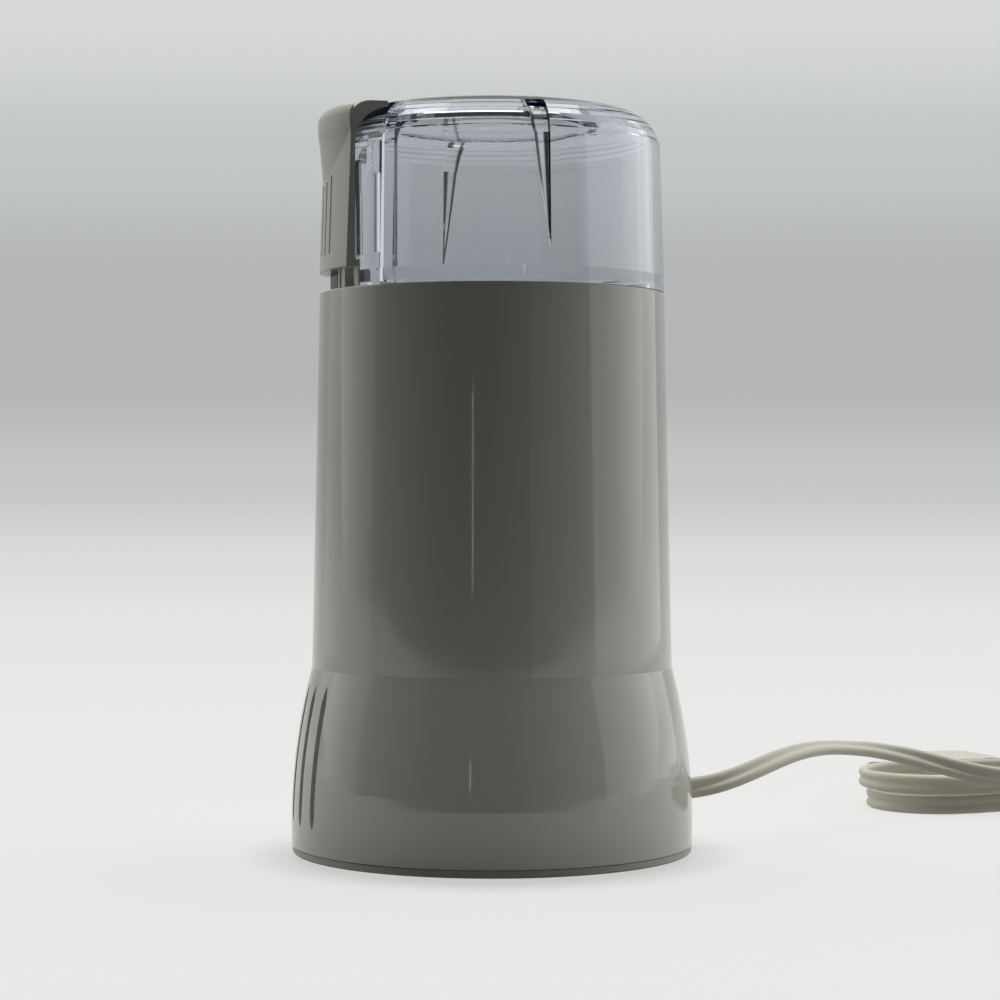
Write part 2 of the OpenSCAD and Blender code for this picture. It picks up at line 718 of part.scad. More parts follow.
module switch_bar() {
    sector = 2 * asin(bar_half / bar_tip_r) + 4;
    color([0.89, 0.885, 0.86]) difference() {
        union() {
            intersection() {
                front_sector(sector / 2) polygon(bar_section());
                translate([-bar_half, -top_r - 5, bar_bottom - 1])
                    cube([2 * bar_half, top_r + 5 - bar_tip_r * 0.72, total_h - bar_bottom + 2]);
            }
            thumb_nose();
            bar_stem();
            for (s = [-1, 1]) bar_peg(s);
        }
        for (i = [0:groove_count - 1])
            rotate([0, 0, (i - (groove_count - 1) / 2) * groove_pitch])
                grip_groove(bar_bottom + 3.7, groove_top(i));
    }
}

// Upright groove that keeps its depth as the bar tapers
module grip_groove(z0, z1) {
    translate([-groove_w / 2, 0, 0]) rotate([90, 0, 90]) linear_extrude(groove_w) polygon([
        [-top_r - 3, z0], [-lid_r(z0) + groove_depth, z0],
        [-lid_r(z1) + groove_depth, z1], [-top_r - 3, z1]
    ]);
}

// The grooves end on the nose's lower crease, highest at the sides
function groove_top(i) = nose_point - 1.2
    + 0.021 * pow((i - (groove_count - 1) / 2) * groove_pitch, 2) * 0.8;

// Nose for the thumb: rounder than the plate seen from above, so that it sinks
// into the plate along a curved crease
module thumb_nose() {
    foot = lid_r(nose_point);
    back = foot - nose_curve;             // how far its axis stands in front of the lid's
    swell = foot + nose_out;
    intersection() {
        difference() {
            translate([0, -back, 0]) front_sector(sector_of(bar_half, nose_curve)) polygon(concat(
                [[bar_in + 0.3 - back - 6, nose_point - 0.2], [foot - back, nose_point],
                 [foot - back + 0.7 * nose_out, nose_point + 0.53 * nose_h],
                 [foot - back + 0.92 * nose_out, nose_point + 0.64 * nose_h],
                 [swell - back, nose_point + 0.75 * nose_h]],
                arc(swell - back - 3.4, total_h - 3.6, 3.4, 8, 86, 6),
                [[bar_in + 0.3 - back - 6, total_h - 0.6]]
            ));
            translate([0, 0, nose_point - 1]) cylinder(r = bar_in + 0.3, h = nose_h + 2, $fn = 144);
        }
        translate([-bar_half, -swell - 2, nose_point - 1])
            cube([2 * bar_half, 20, nose_h + 2]);
    }
}

// Snap peg that reaches through the lid's slot; its slit head springs open behind
module bar_peg(side) {
    out = bar_in + 0.6;
    head = recess_r - recess_wall_t - 0.2;
    rotate([0, 0, side * peg_angle]) translate([0, -out, peg_z]) rotate([-90, 0, 0])
        difference() {
            union() {
                cylinder(r = peg_r, h = out - head + 0.2, $fn = 48);
                translate([0, 0, out - head])
                    cylinder(r1 = peg_r + 1, r2 = peg_r + 0.2, h = 1.4, $fn = 48);
            }
            translate([-0.35, -5, out - head - 1.2]) cube([0.7, 10, 4]);
        }
}

function sector_of(half, r) = asin(half / r) + 2;

// Stem that slides behind the shell's rim: a thin curved wall with upright ribs
module bar_stem() {
    top = bar_bottom + 1.6;
    difference() {
        union() {
            intersection() {
                front_sector(26) polygon([
                    [stem_in, stem_bottom], [stem_in + 0.9, stem_bottom],
                    [stem_in + 0.9, top], [stem_in, top]
                ]);
                translate([-stem_side, -top_r, 0]) cube([2 * stem_side, top_r, total_h]);
            }
            for (s = [-1, 1], w = [[9.0, 10.4], [12.8, 15.6], [22.4, 26]])
                intersection() {
                    rotate([0, 0, -90 + (s > 0 ? w[0] : -w[1])])
                        rotate_extrude(angle = w[1] - w[0], $fn = 180) polygon([
                            [stem_in + 0.4, stem_bottom], [stem_out, stem_bottom],
                            [stem_out, top], [stem_in + 0.4, top]
                        ]);
                    translate([-stem_side, -top_r, 0]) cube([2 * stem_side, top_r, total_h]);
                }
            intersection() {
                front_sector(26) polygon([
                    [stem_in, bar_bottom], [bar_in + 0.6, bar_bottom],
                    [bar_in + 0.6, top], [stem_in, top]
                ]);
                translate([-stem_side, -top_r, 0]) cube([2 * stem_side, top_r, total_h]);
            }
        }
        front_sector(8.4) polygon([
            [stem_in - 1, stem_bottom - 1], [stem_out + 0.4, stem_bottom - 1],
            [stem_out + 0.4, bar_bottom - 1.1], [stem_in - 1, bar_bottom - 1.1]
        ]);
    }
}

// Inner side of the shell's tapered barrel at a height
under_ledge_r = shell_in_top + (barrel_r - top_r) * 0.1;
under_ledge_z = deck_z - ledge_t - 1.8;
function shell_in(z) = let (foot = flare_x(flare_top, shell_wall))
    foot + (under_ledge_r - foot) * (z - flare_top) / (under_ledge_z - flare_top);

crank_z = rod_bottom + 8;                 // level at which the rod's foot is cranked
crank_half = 2.5;
crank_reach = 7.5;                        // far end of the crank, from the middle
rod_out = min(stem_out - 0.5, sqrt(pow(shell_in(crank_z) - gap, 2) - pow(crank_reach, 2)));
rod_t = min(2, rod_out - well_out - gap); // the rod stands between the well and the shell

// Black rod that the bar pushes down onto the switch's lever
module push_rod() {
    head = bar_bottom - 1.2;
    color([0.05, 0.05, 0.05]) union() {
        intersection() {
            front_sector(8.1) polygon([
                [stem_in + 0.1, stem_bottom - 4], [stem_out - 0.1, stem_bottom - 4],
                [stem_out - 0.1, head], [stem_in + 0.1, head]
            ]);
            translate([-rod_half, -top_r, 0]) cube([2 * rod_half, top_r, total_h]);
        }
        translate([-crank_half, -rod_out, crank_z + 4])
            cube([2 * crank_half, rod_t, stem_bottom - crank_z - 6]);
        rod_foot();
    }
}

// The rod's foot is cranked inwards and sideways to reach the lever
module rod_foot() {
    y0 = switch_y;
    translate([-crank_half, -rod_out, crank_z]) cube([crank_half + crank_reach, rod_t, 6]);
    translate([rod_tip_x - rod_tip_half, -rod_out, crank_z])
        cube([2 * rod_tip_half, rod_out + y0 + 1.5, 3]);
    translate([rod_tip_x, y0, rod_bottom + rod_tip_half])
        cylinder(r = rod_tip_half, h = crank_z + 1 - rod_bottom - rod_tip_half, $fn = 48);
    translate([rod_tip_x, y0, rod_bottom + rod_tip_half]) sphere(r = rod_tip_half, $fn = 32);
}

// Round-wire compression spring along +Z, swept through its own rings
function spring_point(t, r, h, turns) = [r * cos(360 * turns * t), r * sin(360 * turns * t), h * t];
module coil_spring(r, wire, h, turns) {
    rings = 8 * turns;
    sides = 6;
    pitch_angle = atan(h / (turns * 2 * PI * r));
    points = [for (i = [0:rings], j = [0:sides - 1])
        let (
            t = i / rings,
            a = 360 * turns * t,
            c = spring_point(t, r, h - 2 * wire, turns),
            out = [cos(a), sin(a), 0],
            up = [sin(a) * sin(pitch_angle), -cos(a) * sin(pitch_angle), cos(pitch_angle)],
            b = 360 * j / sides
        ) c + [0, 0, wire] + wire / 2 * (out * cos(b) + up * sin(b))];
    polyhedron(points, tube_faces(rings + 1, sides));
}

function tube_faces(rings, sides) = concat(
    [for (i = [0:rings - 2], j = [0:sides - 1]) let (k = (j + 1) % sides)
        [i * sides + j, i * sides + k, (i + 1) * sides + k]],
    [for (i = [0:rings - 2], j = [0:sides - 1]) let (k = (j + 1) % sides)
        [i * sides + j, (i + 1) * sides + k, (i + 1) * sides + j]],
    [for (j = [1:sides - 2]) [0, j + 1, j]],
    [for (j = [1:sides - 2]) let (b = (rings - 1) * sides) [b, b + j, b + j + 1]]
);

module bar_springs() {
    color([0.7, 0.7, 0.72]) for (s = [-1, 1]) rotate([0, 0, s * spring_angle])
        translate([0, -(stem_in + stem_out) / 2, spring_z])
            coil_spring(spring_r, spring_wire, stem_bottom - spring_z, 6);
}

module interlock_pin() {
    top = shell_top - spigot_h - gap;
    color([0.85, 0.84, 0.82]) rotate([0, 0, key_angle]) translate([0, -pin_radius_at, 0]) {
        translate([0, 0, spring_z + pin_seat_h])
            cylinder(r = pin_r, h = top - spring_z - pin_seat_h, $fn = 48);
        translate([0, 0, spring_z + pin_seat_h]) cylinder(r = 1.7, h = 1.2, $fn = 48);
    }
}

module interlock_spring() {
    color([0.7, 0.7, 0.72]) rotate([0, 0, key_angle]) translate([0, -pin_radius_at, spring_z])
        coil_spring(spring_r, spring_wire, pin_seat_h, 6);
}

// ---- Blade -----------------------------------------------------------------

module blade() {
    arm = blade_len / 2;
    flat = arm * 0.62;
    rise = (arm - flat) * tan(blade_bend);
    top = blade_t / cos(blade_bend);
    corner = blade_t * tan(blade_bend / 2);
    w = blade_w / 2;
    color([0.72, 0.73, 0.74]) difference() {
        intersection() {
            translate([0, blade_w, blade_z]) rotate([90, 0, 0]) linear_extrude(2 * blade_w) polygon([
                [-arm - 1, rise + tan(blade_bend)], [-flat, 0], [flat, 0],
                [arm + 1, rise + tan(blade_bend)], [arm + 1, rise + tan(blade_bend) + top],
                [flat - corner, blade_t], [-flat + corner, blade_t],
                [-arm - 1, rise + tan(blade_bend) + top]
            ]);
            translate([0, 0, blade_z - 1]) linear_extrude(arm) polygon([
                [-arm + 3.5, -w], [arm - 2, -w], [arm, -w + 2], [arm, w - 3.4],
                [arm - 3.5, w], [-arm + 2, w], [-arm, w - 2], [-arm, -w + 3.4]
            ]);
        }
        translate([0, 0, blade_z - 1]) cylinder(r = shaft_r, h = blade_t + 2, $fn = 64);
        for (a = [0, 180]) rotate([0, 0, a]) ground_edge(flat, arm, w);
    }
}

// Bevel ground on the leading edge of a tip
module ground_edge(flat, arm, w) {
    translate([flat + 0.8, -w, blade_z + 0.4]) rotate([0, -blade_bend, 0]) rotate([28, 0, 0])
        translate([0, -4, 0]) cube([arm, 9, 5]);
}

// Domed nut that clamps the blade, with two flats for a spanner
module blade_nut() {
    z0 = blade_z + blade_t;
    color([0.16, 0.16, 0.17]) difference() {
        rotate_extrude($fn = 72) polygon([
            [shaft_r, z0], [5.2, z0], [5.2, z0 + 2.4], [4.4, z0 + 4.2], [2.4, z0 + 5.2],
            [0, z0 + 5.4], [0, shaft_top + 0.1], [shaft_r, shaft_top + 0.1]
        ]);
        for (s = [-1, 1]) translate([s * 6.4 - 2, -6, z0 + 1]) cube([4, 12, 6]);
    }
}

// ---- Armature --------------------------------------------------------------

module motor_shaft() {
    color([0.7, 0.7, 0.71]) union() {
        translate([0, 0, shaft_bottom]) cylinder(r = shaft_r, h = shaft_top - shaft_bottom);
        translate([0, 0, blade_z - hub_t]) cylinder(r = shaft_r + 1.2, h = hub_t, $fn = 64);
    }
}

module rotor_core() {
    color([0.45, 0.45, 0.46]) translate([0, 0, stack_z]) linear_extrude(stack_h) difference() {
        circle(r = rotor_r, $fn = 120);
        circle(r = shaft_r, $fn = 48);
        for (i = [0:rotor_slots - 1]) rotate(360 / rotor_slots * i) {
            translate([rotor_r * 0.62, 0]) circle(r = rotor_r * 0.13, $fn = 32);
            translate([rotor_r * 0.62, -rotor_r * 0.1]) square([rotor_r * 0.24, rotor_r * 0.2]);
            translate([rotor_r * 0.8, -0.7]) square([rotor_r * 0.3, 1.4]);
        }
    }
}

// Copper end turns, a swollen ring above and below the core
module rotor_windings() {
    lobe = rotor_r * 0.86;
    bore = shaft_r + 1.4;
    color([0.72, 0.38, 0.18]) for (z = [stack_z - winding_h, stack_top]) {
        translate([0, 0, z]) rotate_extrude($fn = 96) polygon([
            [bore, 0.1], [lobe - 1.6, 0.1], [lobe - 0.4, 1.4], [lobe, winding_h / 2],
            [lobe - 0.4, winding_h - 1.4], [lobe - 1.6, winding_h - 0.1], [bore, winding_h - 0.1]
        ]);
    }
}

module commutator() {
    color([0.75, 0.45, 0.25]) translate([0, 0, commutator_z]) linear_extrude(commutator_h)
        difference() {
            circle(r = commutator_r, $fn = 96);
            circle(r = shaft_r, $fn = 48);
            for (i = [0:commutator_bars - 1]) rotate(360 / commutator_bars * i)
                translate([commutator_r - 0.7, -0.2]) square([1.4, 0.4]);
        }
}

module cooling_fan() {
    color([0.2, 0.2, 0.22]) translate([0, 0, fan_z]) difference() {
        union() {
            cylinder(r = 6, h = fan_h + 1, $fn = 64);
            cylinder(r = fan_r, h = 1.2, $fn = 120);
            for (i = [0:fan_vanes - 1]) rotate([0, 0, 360 / fan_vanes * i])
                translate([5, -0.6, 0]) cube([fan_r - 5.4, 1.2, fan_h]);
        }
        translate([0, 0, -1]) cylinder(r = shaft_r, h = fan_h + 3, $fn = 48);
    }
}

// ---- Field, brackets and brushes -------------------------------------------

// Outline of one field lamination, with two poles that face the armature
module lamination() {
    corner = 9;
    bore = rotor_r + air_gap;
    difference() {
        intersection() {
            square([field_w, field_d], center = true);
            circle(r = norm([field_w, field_d]) / 2 - corner * 0.45, $fn = 120);
        }
        circle(r = bore, $fn = 120);
        for (s = [-1, 1]) coil_window(s, bore);
        for (x = [-mount_x, mount_x], y = [-mount_y, mount_y])
            translate([x, y]) circle(r = screw_r + 0.15, $fn = 32);
    }
}

// Window beside the bore that the field coils pass through
module coil_window(side, bore) {
    wide = coil_out + 0.5 - bore + 3;
    translate([side > 0 ? bore - 3 : -bore + 3 - wide, -11.8]) square([wide, 23.6]);
}

module stator_core() {
    color([0.42, 0.42, 0.43]) translate([0, 0, stack_z]) linear_extrude(stack_h) lamination();
}

// Two coils wound round the poles; their sides stand in the windows
module field_coils() {
    bore = rotor_r + air_gap;
    side_x = coil_out - 2.9;
    color([0.70, 0.33, 0.15]) for (s = [-1, 1]) {
        for (t = [-1, 1]) translate([s * side_x - 2.9, t * 6 - 5, stack_z - 5])
            cube([5.8, 10, stack_h + 10]);
        for (z = [stack_z - 5, stack_top + 0.2])
            difference() {
                translate([0, 0, z]) intersection() {
                    cylinder(r = coil_out + 0.3, h = 4.8, $fn = 96);
                    translate([-coil_out - 2, s > 0 ? 1 : -26, 0]) cube([2 * coil_out + 4, 25, 4.8]);
                }
                translate([0, 0, z - 1]) cylinder(r = bore + 0.5, h = 8, $fn = 96);
            }
    }
}

// Plate across the stack with a cup for the bush and a leg to each screw
module bracket(z, up) {
    arm_w = 11;
    difference() {
        union() {
            translate([0, 0, z]) linear_extrude(plate_t) difference() {
                union() {
                    for (s = [-1, 1]) rotate(s * atan(mount_y / mount_x))
                        square([2 * norm([mount_x, mount_y]) + 8, arm_w], center = true);
                    circle(r = 12, $fn = 72);
                }
                for (x = [-mount_x, mount_x], y = [-mount_y, mount_y])
                    translate([x, y]) circle(r = screw_r + 0.15, $fn = 32);
            }
            translate([0, 0, up ? z : z + plate_t - bush_h - 0.6])
                cylinder(r = bush_r + 2, h = bush_h + 0.6, $fn = 72);
        }
        translate([0, 0, z - 12]) cylinder(r = shaft_r + 1, h = 30, $fn = 48);
        translate([0, 0, up ? z + 0.6 : z + plate_t - bush_h - 0.6 - eps])
            cylinder(r = bush_r, h = bush_h + eps, $fn = 72);
    }
}

// Sintered bush with a barrel-shaped outside
module bush(z) {
    color([0.62, 0.48, 0.28]) rotate_extrude($fn = 72) polygon([
        [shaft_r + running_clear, z], [bush_r - 0.8, z], [bush_r, z + bush_h * 0.3],
        [bush_r, z + bush_h * 0.7], [bush_r - 0.8, z + bush_h],
        [shaft_r + running_clear, z + bush_h]
    ]);
}

module upper_bracket() { color([0.68, 0.69, 0.70]) bracket(upper_plate_z, true); }
module lower_bracket() { color([0.68, 0.69, 0.70]) union() {
    bracket(lower_plate_z, false);
    // cross bar that the brush holders stand on
    translate([0, 0, lower_plate_z]) linear_extrude(plate_t) difference() {
        square([50, 12], center = true);
        circle(r = 11, $fn = 72);
    }
    // spacers that carry the plate below the stack
    difference() {
        for (x = [-mount_x, mount_x], y = [-mount_y, mount_y])
            translate([x, y, lower_plate_z + plate_t])
                cylinder(r = 3.2, h = stack_z - lower_plate_z - plate_t, $fn = 48);
        for (x = [-mount_x, mount_x], y = [-mount_y, mount_y])
            translate([x, y, lower_plate_z]) cylinder(r = screw_r + 0.15, h = 40, $fn = 32);
    }
} }
module upper_bush() { bush(upper_plate_z + 0.6); }
module lower_bush() { bush(lower_plate_z + plate_t - bush_h - 0.6); }

module motor_screws() {
    length = well_floor + 2 - lower_plate_z;
    color([0.62, 0.62, 0.63]) for (x = [-mount_x, mount_x], y = [-mount_y, mount_y])
        translate([x, y, lower_plate_z - 2.2]) screw(3.4, 2.2, screw_r, length);
}

// Rubber bushes between the motor and the well
module motor_mounts() {
    low = stack_top;
    color([0.1, 0.1, 0.1]) for (x = [-mount_x, mount_x], y = [-mount_y, mount_y])
        translate([x, y, 0]) difference() {
            union() {
                translate([0, 0, low]) cylinder(r = 3.2, h = upper_plate_z - low, $fn = 48);
                translate([0, 0, upper_plate_z + plate_t]) cylinder(r = 4.2, h = mount_h, $fn = 48);
            }
            translate([0, 0, low - 1]) cylinder(r = screw_r + 0.15, h = 40, $fn = 32);
        }
}

module brush_holders() {
    inside = brush_w + 0.3;
    x0 = commutator_r + 1.6;
    len = 18;
    color([0.78, 0.62, 0.28]) for (s = [-1, 1]) translate([s > 0 ? x0 : -x0 - len, 0, brush_z])
        difference() {
            union() {
                translate([0, -inside / 2 - brush_box, -inside / 2 - brush_box])
                    cube([len, inside + 2 * brush_box, inside + 2 * brush_box]);
                translate([len / 2 - 4, -5.4, lower_plate_z + plate_t - brush_z])
                    cube([8, 10.8, brush_z - lower_plate_z - plate_t - inside / 2]);
            }
            translate([s > 0 ? -1 : 1, -inside / 2, -inside / 2]) cube([len, inside, inside]);
        }
}

module carbon_brushes() {
    x0 = commutator_r + brush_gap;
    color([0.13, 0.13, 0.14]) for (s = [-1, 1])
        translate([s > 0 ? x0 : -x0 - brush_len, -brush_w / 2, brush_z - brush_w / 2])
            cube([brush_len, brush_w, brush_w]);
}

module brush_springs() {
    x0 = commutator_r + brush_gap + brush_len;
    color([0.7, 0.7, 0.72]) for (s = [0, 180]) rotate([0, 0, s])
        translate([x0, 0, brush_z]) rotate([0, 90, 0]) coil_spring(1.7, 0.5, 6.3, 4);
}

// ---- Switch ----------------------------------------------------------------

module switch_body() {
    hole = 1.2;
    color([0.10, 0.10, 0.11]) difference() {
        union() {
            translate([-switch_w / 2, switch_y - switch_d / 2, switch_z])
                cube([switch_w, switch_d, switch_h]);
            for (x = [-8, 0, 7]) translate([x - 0.25, switch_y - 1.6, switch_z - terminal_drop])
                cube([0.5, 3.2, terminal_drop + 0.2]);
            translate([lever_pivot_x - 1.4, switch_y - switch_d / 2, switch_z + switch_h])
                cube([2.8, 1.2, 3]);
            translate([lever_pivot_x - 1.4, switch_y + switch_d / 2 - 1.2, switch_z + switch_h])
                cube([2.8, 1.2, 3]);
        }
        for (x = [-4.8, 4.8]) translate([x, switch_y + switch_d, switch_z + 2.6])
            rotate([90, 0, 0]) cylinder(r = hole, h = 2 * switch_d, $fn = 32);
        translate([lever_pivot_x, switch_y + switch_d, lever_pivot_z]) rotate([90, 0, 0])
            cylinder(r = 0.55, h = 2 * switch_d, $fn = 32);
        translate([-3, switch_y, switch_z + 4]) cylinder(r = 1.3, h = 10, $fn = 32);
    }
}

module switch_lever() {
    w = switch_d - 3.2;
    color([0.75, 0.75, 0.76]) translate([lever_pivot_x, switch_y, lever_pivot_z]) union() {
        rotate([90, 0, 0]) cylinder(r = 0.5, h = switch_d, center = true, $fn = 32);
        rotate([0, -lever_tilt, 0]) {
            translate([0, -w / 2, -lever_t / 2]) cube([lever_len, w, lever_t]);
            translate([lever_len, 0, 0]) rotate([90, 0, 0])
                cylinder(r = 0.6, h = w, center = true, $fn = 32);
        }
    }
}

module switch_plunger() {
    tip = lever_pivot_z + 3.9 * tan(lever_tilt) - 0.35;
    color([0.75, 0.1, 0.1]) translate([-3, switch_y, 0]) {
        translate([0, 0, switch_z + 6])
            cylinder(r = 1.3 - running_clear, h = tip - switch_z - 6.6, $fn = 32);
        translate([0, 0, tip - 0.7]) cylinder(r1 = 1.25, r2 = 0.6, h = 0.7, $fn = 32);
    }
}

// Angle plate that carries the switch on the field core's front
module switch_bracket() {
    front = -field_d / 2;
    back = switch_y + switch_d / 2;
    color([0.7, 0.7, 0.71]) difference() {
        union() {
            translate([-8, back, switch_z - 1]) cube([16, 1, 8]);
            translate([-8, back, switch_z + 6]) cube([16, front - back, 1]);
            translate([-8, front - 1, switch_z - 1]) cube([16, 1, 8]);
        }
        for (x = [-4.8, 4.8]) translate([x, back + 3, switch_z + 2.6])
            rotate([90, 0, 0]) cylinder(r = 1.2, h = 6, $fn = 32);
    }
}

// ---- Cord ------------------------------------------------------------------

// Clamp bar that grips the cord inside the base
module cord_clamp() {
    color([0.25, 0.25, 0.26]) difference() {
        translate([-10, 27.8, cord_z - cord_w / 2 - clamp_wall])
            cube([20, 6.4, cord_w + 2 * clamp_wall]);
        translate([-cord_t / 2 - 0.1, 27, cord_z - cord_w / 2 - 0.1])
            cube([cord_t + 0.2, 8, cord_w + 0.2]);
        for (s = [-1, 1]) translate([s * 7, 31, 0]) cylinder(r = 1.3, h = 30, $fn = 32);
    }
}

module clamp_screws() {
    top = cord_z + cord_w / 2 + clamp_wall;
    color([0.62, 0.62, 0.63]) for (s = [-1, 1]) translate([s * 7, 31, top + 1.6])
        rotate([180, 0, 0]) screw(2.4, 1.6, 1, 12);
}

// One ring of the flat cord's section. Upright at roll 0, flat at roll 90
function cord_ring(p, dir, sides, roll = 0) =
    let (
        d = dir / norm(dir), side = cross(d, [0, 0, 1]), s0 = side / norm(side),
        u0 = cross(s0, d), s = s0 * cos(roll) + u0 * sin(roll), u = u0 * cos(roll) - s0 * sin(roll)
    )
    [for (j = [0:sides - 1]) let (a = 360 * (j + 0.5) / sides)
        p + s * cord_t / 2 * cos(a) / cos(180 / sides) * 0.95
          + u * cord_w / 2 * sin(a) / sin(360 * (floor(sides / 4) + 0.5) / sides)];
function heading(path, i) = path[min(i + 1, len(path) - 1)] - path[max(i - 1, 0)];
module cord_tube(path, sides, last_way, rolls = []) {
    last = len(path) - 1;
    points = [for (i = [0:last]) each cord_ring(
        path[i], i == 0 ? [0, 1, 0] : i == last ? last_way : heading(path, i),
        sides, len(rolls) > i ? rolls[i] : 0)];
    polyhedron(points, tube_faces(len(path), sides));
}

module power_cord() {
    color([0.90, 0.88, 0.80])
        cord_tube(concat([for (y = [26, 31, 36]) [0, y, cord_z]], cord_route), 8, [0, 1, 0]);
}

// Turn number t of the hank gives a point: two runs drawn in at the waist and two folds
function hank_radius(t) = hank_fold + hank_step * abs(t - hank_turn_back);
function hank_height(t) = let (half = 2 / 24)
    hank_low + hank_layer * (t < hank_turn_back - half ? 1
        : t > hank_turn_back + half ? 0
        : 0.5 - 0.5 * sin(90 * (t - hank_turn_back) / half));
function drawn_in(s) = hank_waist * (0.5 - 0.5 * cos(360 * s));
function lifted(s) = hank_lift * (0.5 - 0.5 * cos(360 * s));
function hank_point(t) = let (
        u = t - floor(t + 0.0001), r = hank_radius(t), z = hank_height(t),
        q = u * 24
    )
    q < 4 ? [hank_x + r - drawn_in(q / 4), hank_y + hank_run * q / 4, z + lifted(q / 4)]
    : q < 12 ? let (a = (q - 4) * 22.5)
        [hank_x + r * cos(a), hank_y + hank_run + r * sin(a), z]
    : q < 16 ? let (v = (q - 12) / 4)
        [hank_x - r + drawn_in(v), hank_y + hank_run * (1 - v), z + lifted(v)]
    : let (a = 180 + (q - 16) * 22.5) [hank_x + r * cos(a), hank_y + r * sin(a), z];
hank_rings = round((hank_end - hank_start) * hank_rings_per_turn);
hank_path = [for (i = [0:hank_rings]) hank_point(hank_start + i / hank_rings_per_turn)];

// The tail swings clear of the hank and rolls flat on its way to the plug
function ease(s) = s < 0.5 ? 2 * s * s : 1 - 2 * (1 - s) * (1 - s);
tail_from = hank_point(hank_end);
tail_path = [for (i = [1:tail_steps]) let (s = i / tail_steps, e = ease(s)) [
    tail_from[0] + (plug_x - tail_from[0]) * e,
    tail_from[1] + (plug_y - tail_from[1]) * s,
    tail_from[2] + (plug_t / 2 - tail_from[2]) * e
]];
tail_rolls = concat([for (i = [0:hank_rings]) 0], [for (i = [1:tail_steps]) 90 * ease(i / tail_steps)]);

module cord_hank() {
    color([0.90, 0.88, 0.80]) cord_tube(concat(hank_path, tail_path), 6, [0, -1, 0], tail_rolls);
}

// Least distance between cord faces of stretches more than a quarter turn apart
function flat_gap(p, q) = let (level = abs(p[2] - q[2]), apart = norm([p[0] - q[0], p[1] - q[1]]))
    level > cord_w ? max(level - cord_w, apart - cord_t) : apart - cord_t;
fine_steps = 8;
fine_hank = [for (i = [0:hank_rings * fine_steps])
    hank_point(hank_start + i / (hank_rings_per_turn * fine_steps))];
hank_least_gap = min([for (i = [0:len(fine_hank) - 1])
    for (j = [i + 50:len(fine_hank) - 1]) flat_gap(fine_hank[i], fine_hank[j])]);
echo(hank_least_gap = hank_least_gap);

// Strap round the drawn-in runs, with its twisted ends standing on top
tie_y = hank_y + hank_run / 2;
module cord_tie() {
    wall = 0.5;
    left = hank_point(14 / 24)[0] - cord_t / 2 - 0.3;
    right = cord_route[21][0] + cord_t / 2 + 0.15;
    low = hank_low + hank_lift - cord_w / 2 - 0.05;
    top = hank_low + hank_lift + hank_layer + cord_w / 2 + 0.15;
    color([0.1, 0.1, 0.1]) translate([0, tie_y - 2, 0]) union() {
        difference() {
            translate([left - wall, 0, low - 0.45]) cube([right - left + 2 * wall, 4, top - low + 0.9]);
            translate([left, -1, low]) cube([right - left, 6, top - low]);
        }
        translate([hank_x - 1, 1.3, top]) cube([2, 1.4, 9]);
    }
}

// Moulded plug with scalloped grips, lying flat with its blades towards -Y
module plug_body() {
    half = plug_w / 2;
    front = plug_y - plug_len;
    color([0.90, 0.88, 0.80]) translate([plug_x, 0, 0]) difference() {
        intersection() {
            linear_extrude(plug_t) polygon(concat(
                [[-half + 1.5, front], [half - 1.5, front]],
                arc(half - 1.5, front + 1.5, 1.5, -60, 0, 3),
                arc(half - 5, front + 12, 5, 0, 50, 3),
                [[4.6, plug_y - 4], [4.2, plug_y], [-4.2, plug_y], [-4.6, plug_y - 4]],
                arc(-half + 5, front + 12, 5, 130, 180, 3),
                arc(-half + 1.5, front + 1.5, 1.5, 180, 240, 3)
            ));
            translate([-half - 1, 0, 0]) rotate([90, 0, 90]) linear_extrude(plug_w + 2) polygon([
                [front - 1, 1], [front + 1, 0], [plug_y - 13, 0], [plug_y - 3, 1.6],
                [plug_y + 1, 2.2], [plug_y + 1, plug_t - 2.2], [plug_y - 3, plug_t - 1.6],
                [plug_y - 13, plug_t], [front + 1, plug_t], [front - 1, plug_t - 1]
            ]);
        }
        for (s = [-1, 1], y = [4.5, 8, 11.5]) translate([s * (half + 0.9), front + y, -1])
            cylinder(r = 1.5, h = plug_t + 2, $fn = 32);
        for (s = [-1, 1]) plug_blade(s);
    }
}

// Flat contact blade; the one on the right is the wider, neutral one
module plug_blade(side) {
    wide = side > 0 ? 7.9 : 6.3;
    front = plug_y - plug_len;
    translate([side * plug_blade_gap / 2 - plug_blade_t / 2, front - plug_blade_len, 0])
        rotate([90, 0, 90]) linear_extrude(plug_blade_t) polygon([
            [0, (plug_t - wide) / 2 + 1.4], [1.2, (plug_t - wide) / 2],
            [plug_blade_len + 5, (plug_t - wide) / 2], [plug_blade_len + 5, (plug_t + wide) / 2],
            [1.2, (plug_t + wide) / 2], [0, (plug_t + wide) / 2 - 1.4]
        ]);
}

module plug_blades() {
    front = plug_y - plug_len;
    color([0.78, 0.68, 0.45]) translate([plug_x, 0, 0]) difference() {
        for (s = [-1, 1]) plug_blade(s);
        translate([-10, front - plug_blade_len + 3.6, plug_t / 2]) rotate([0, 90, 0])
            cylinder(r = 1.6, h = 20, $fn = 32);
    }
}

// ---- Leads -----------------------------------------------------------------

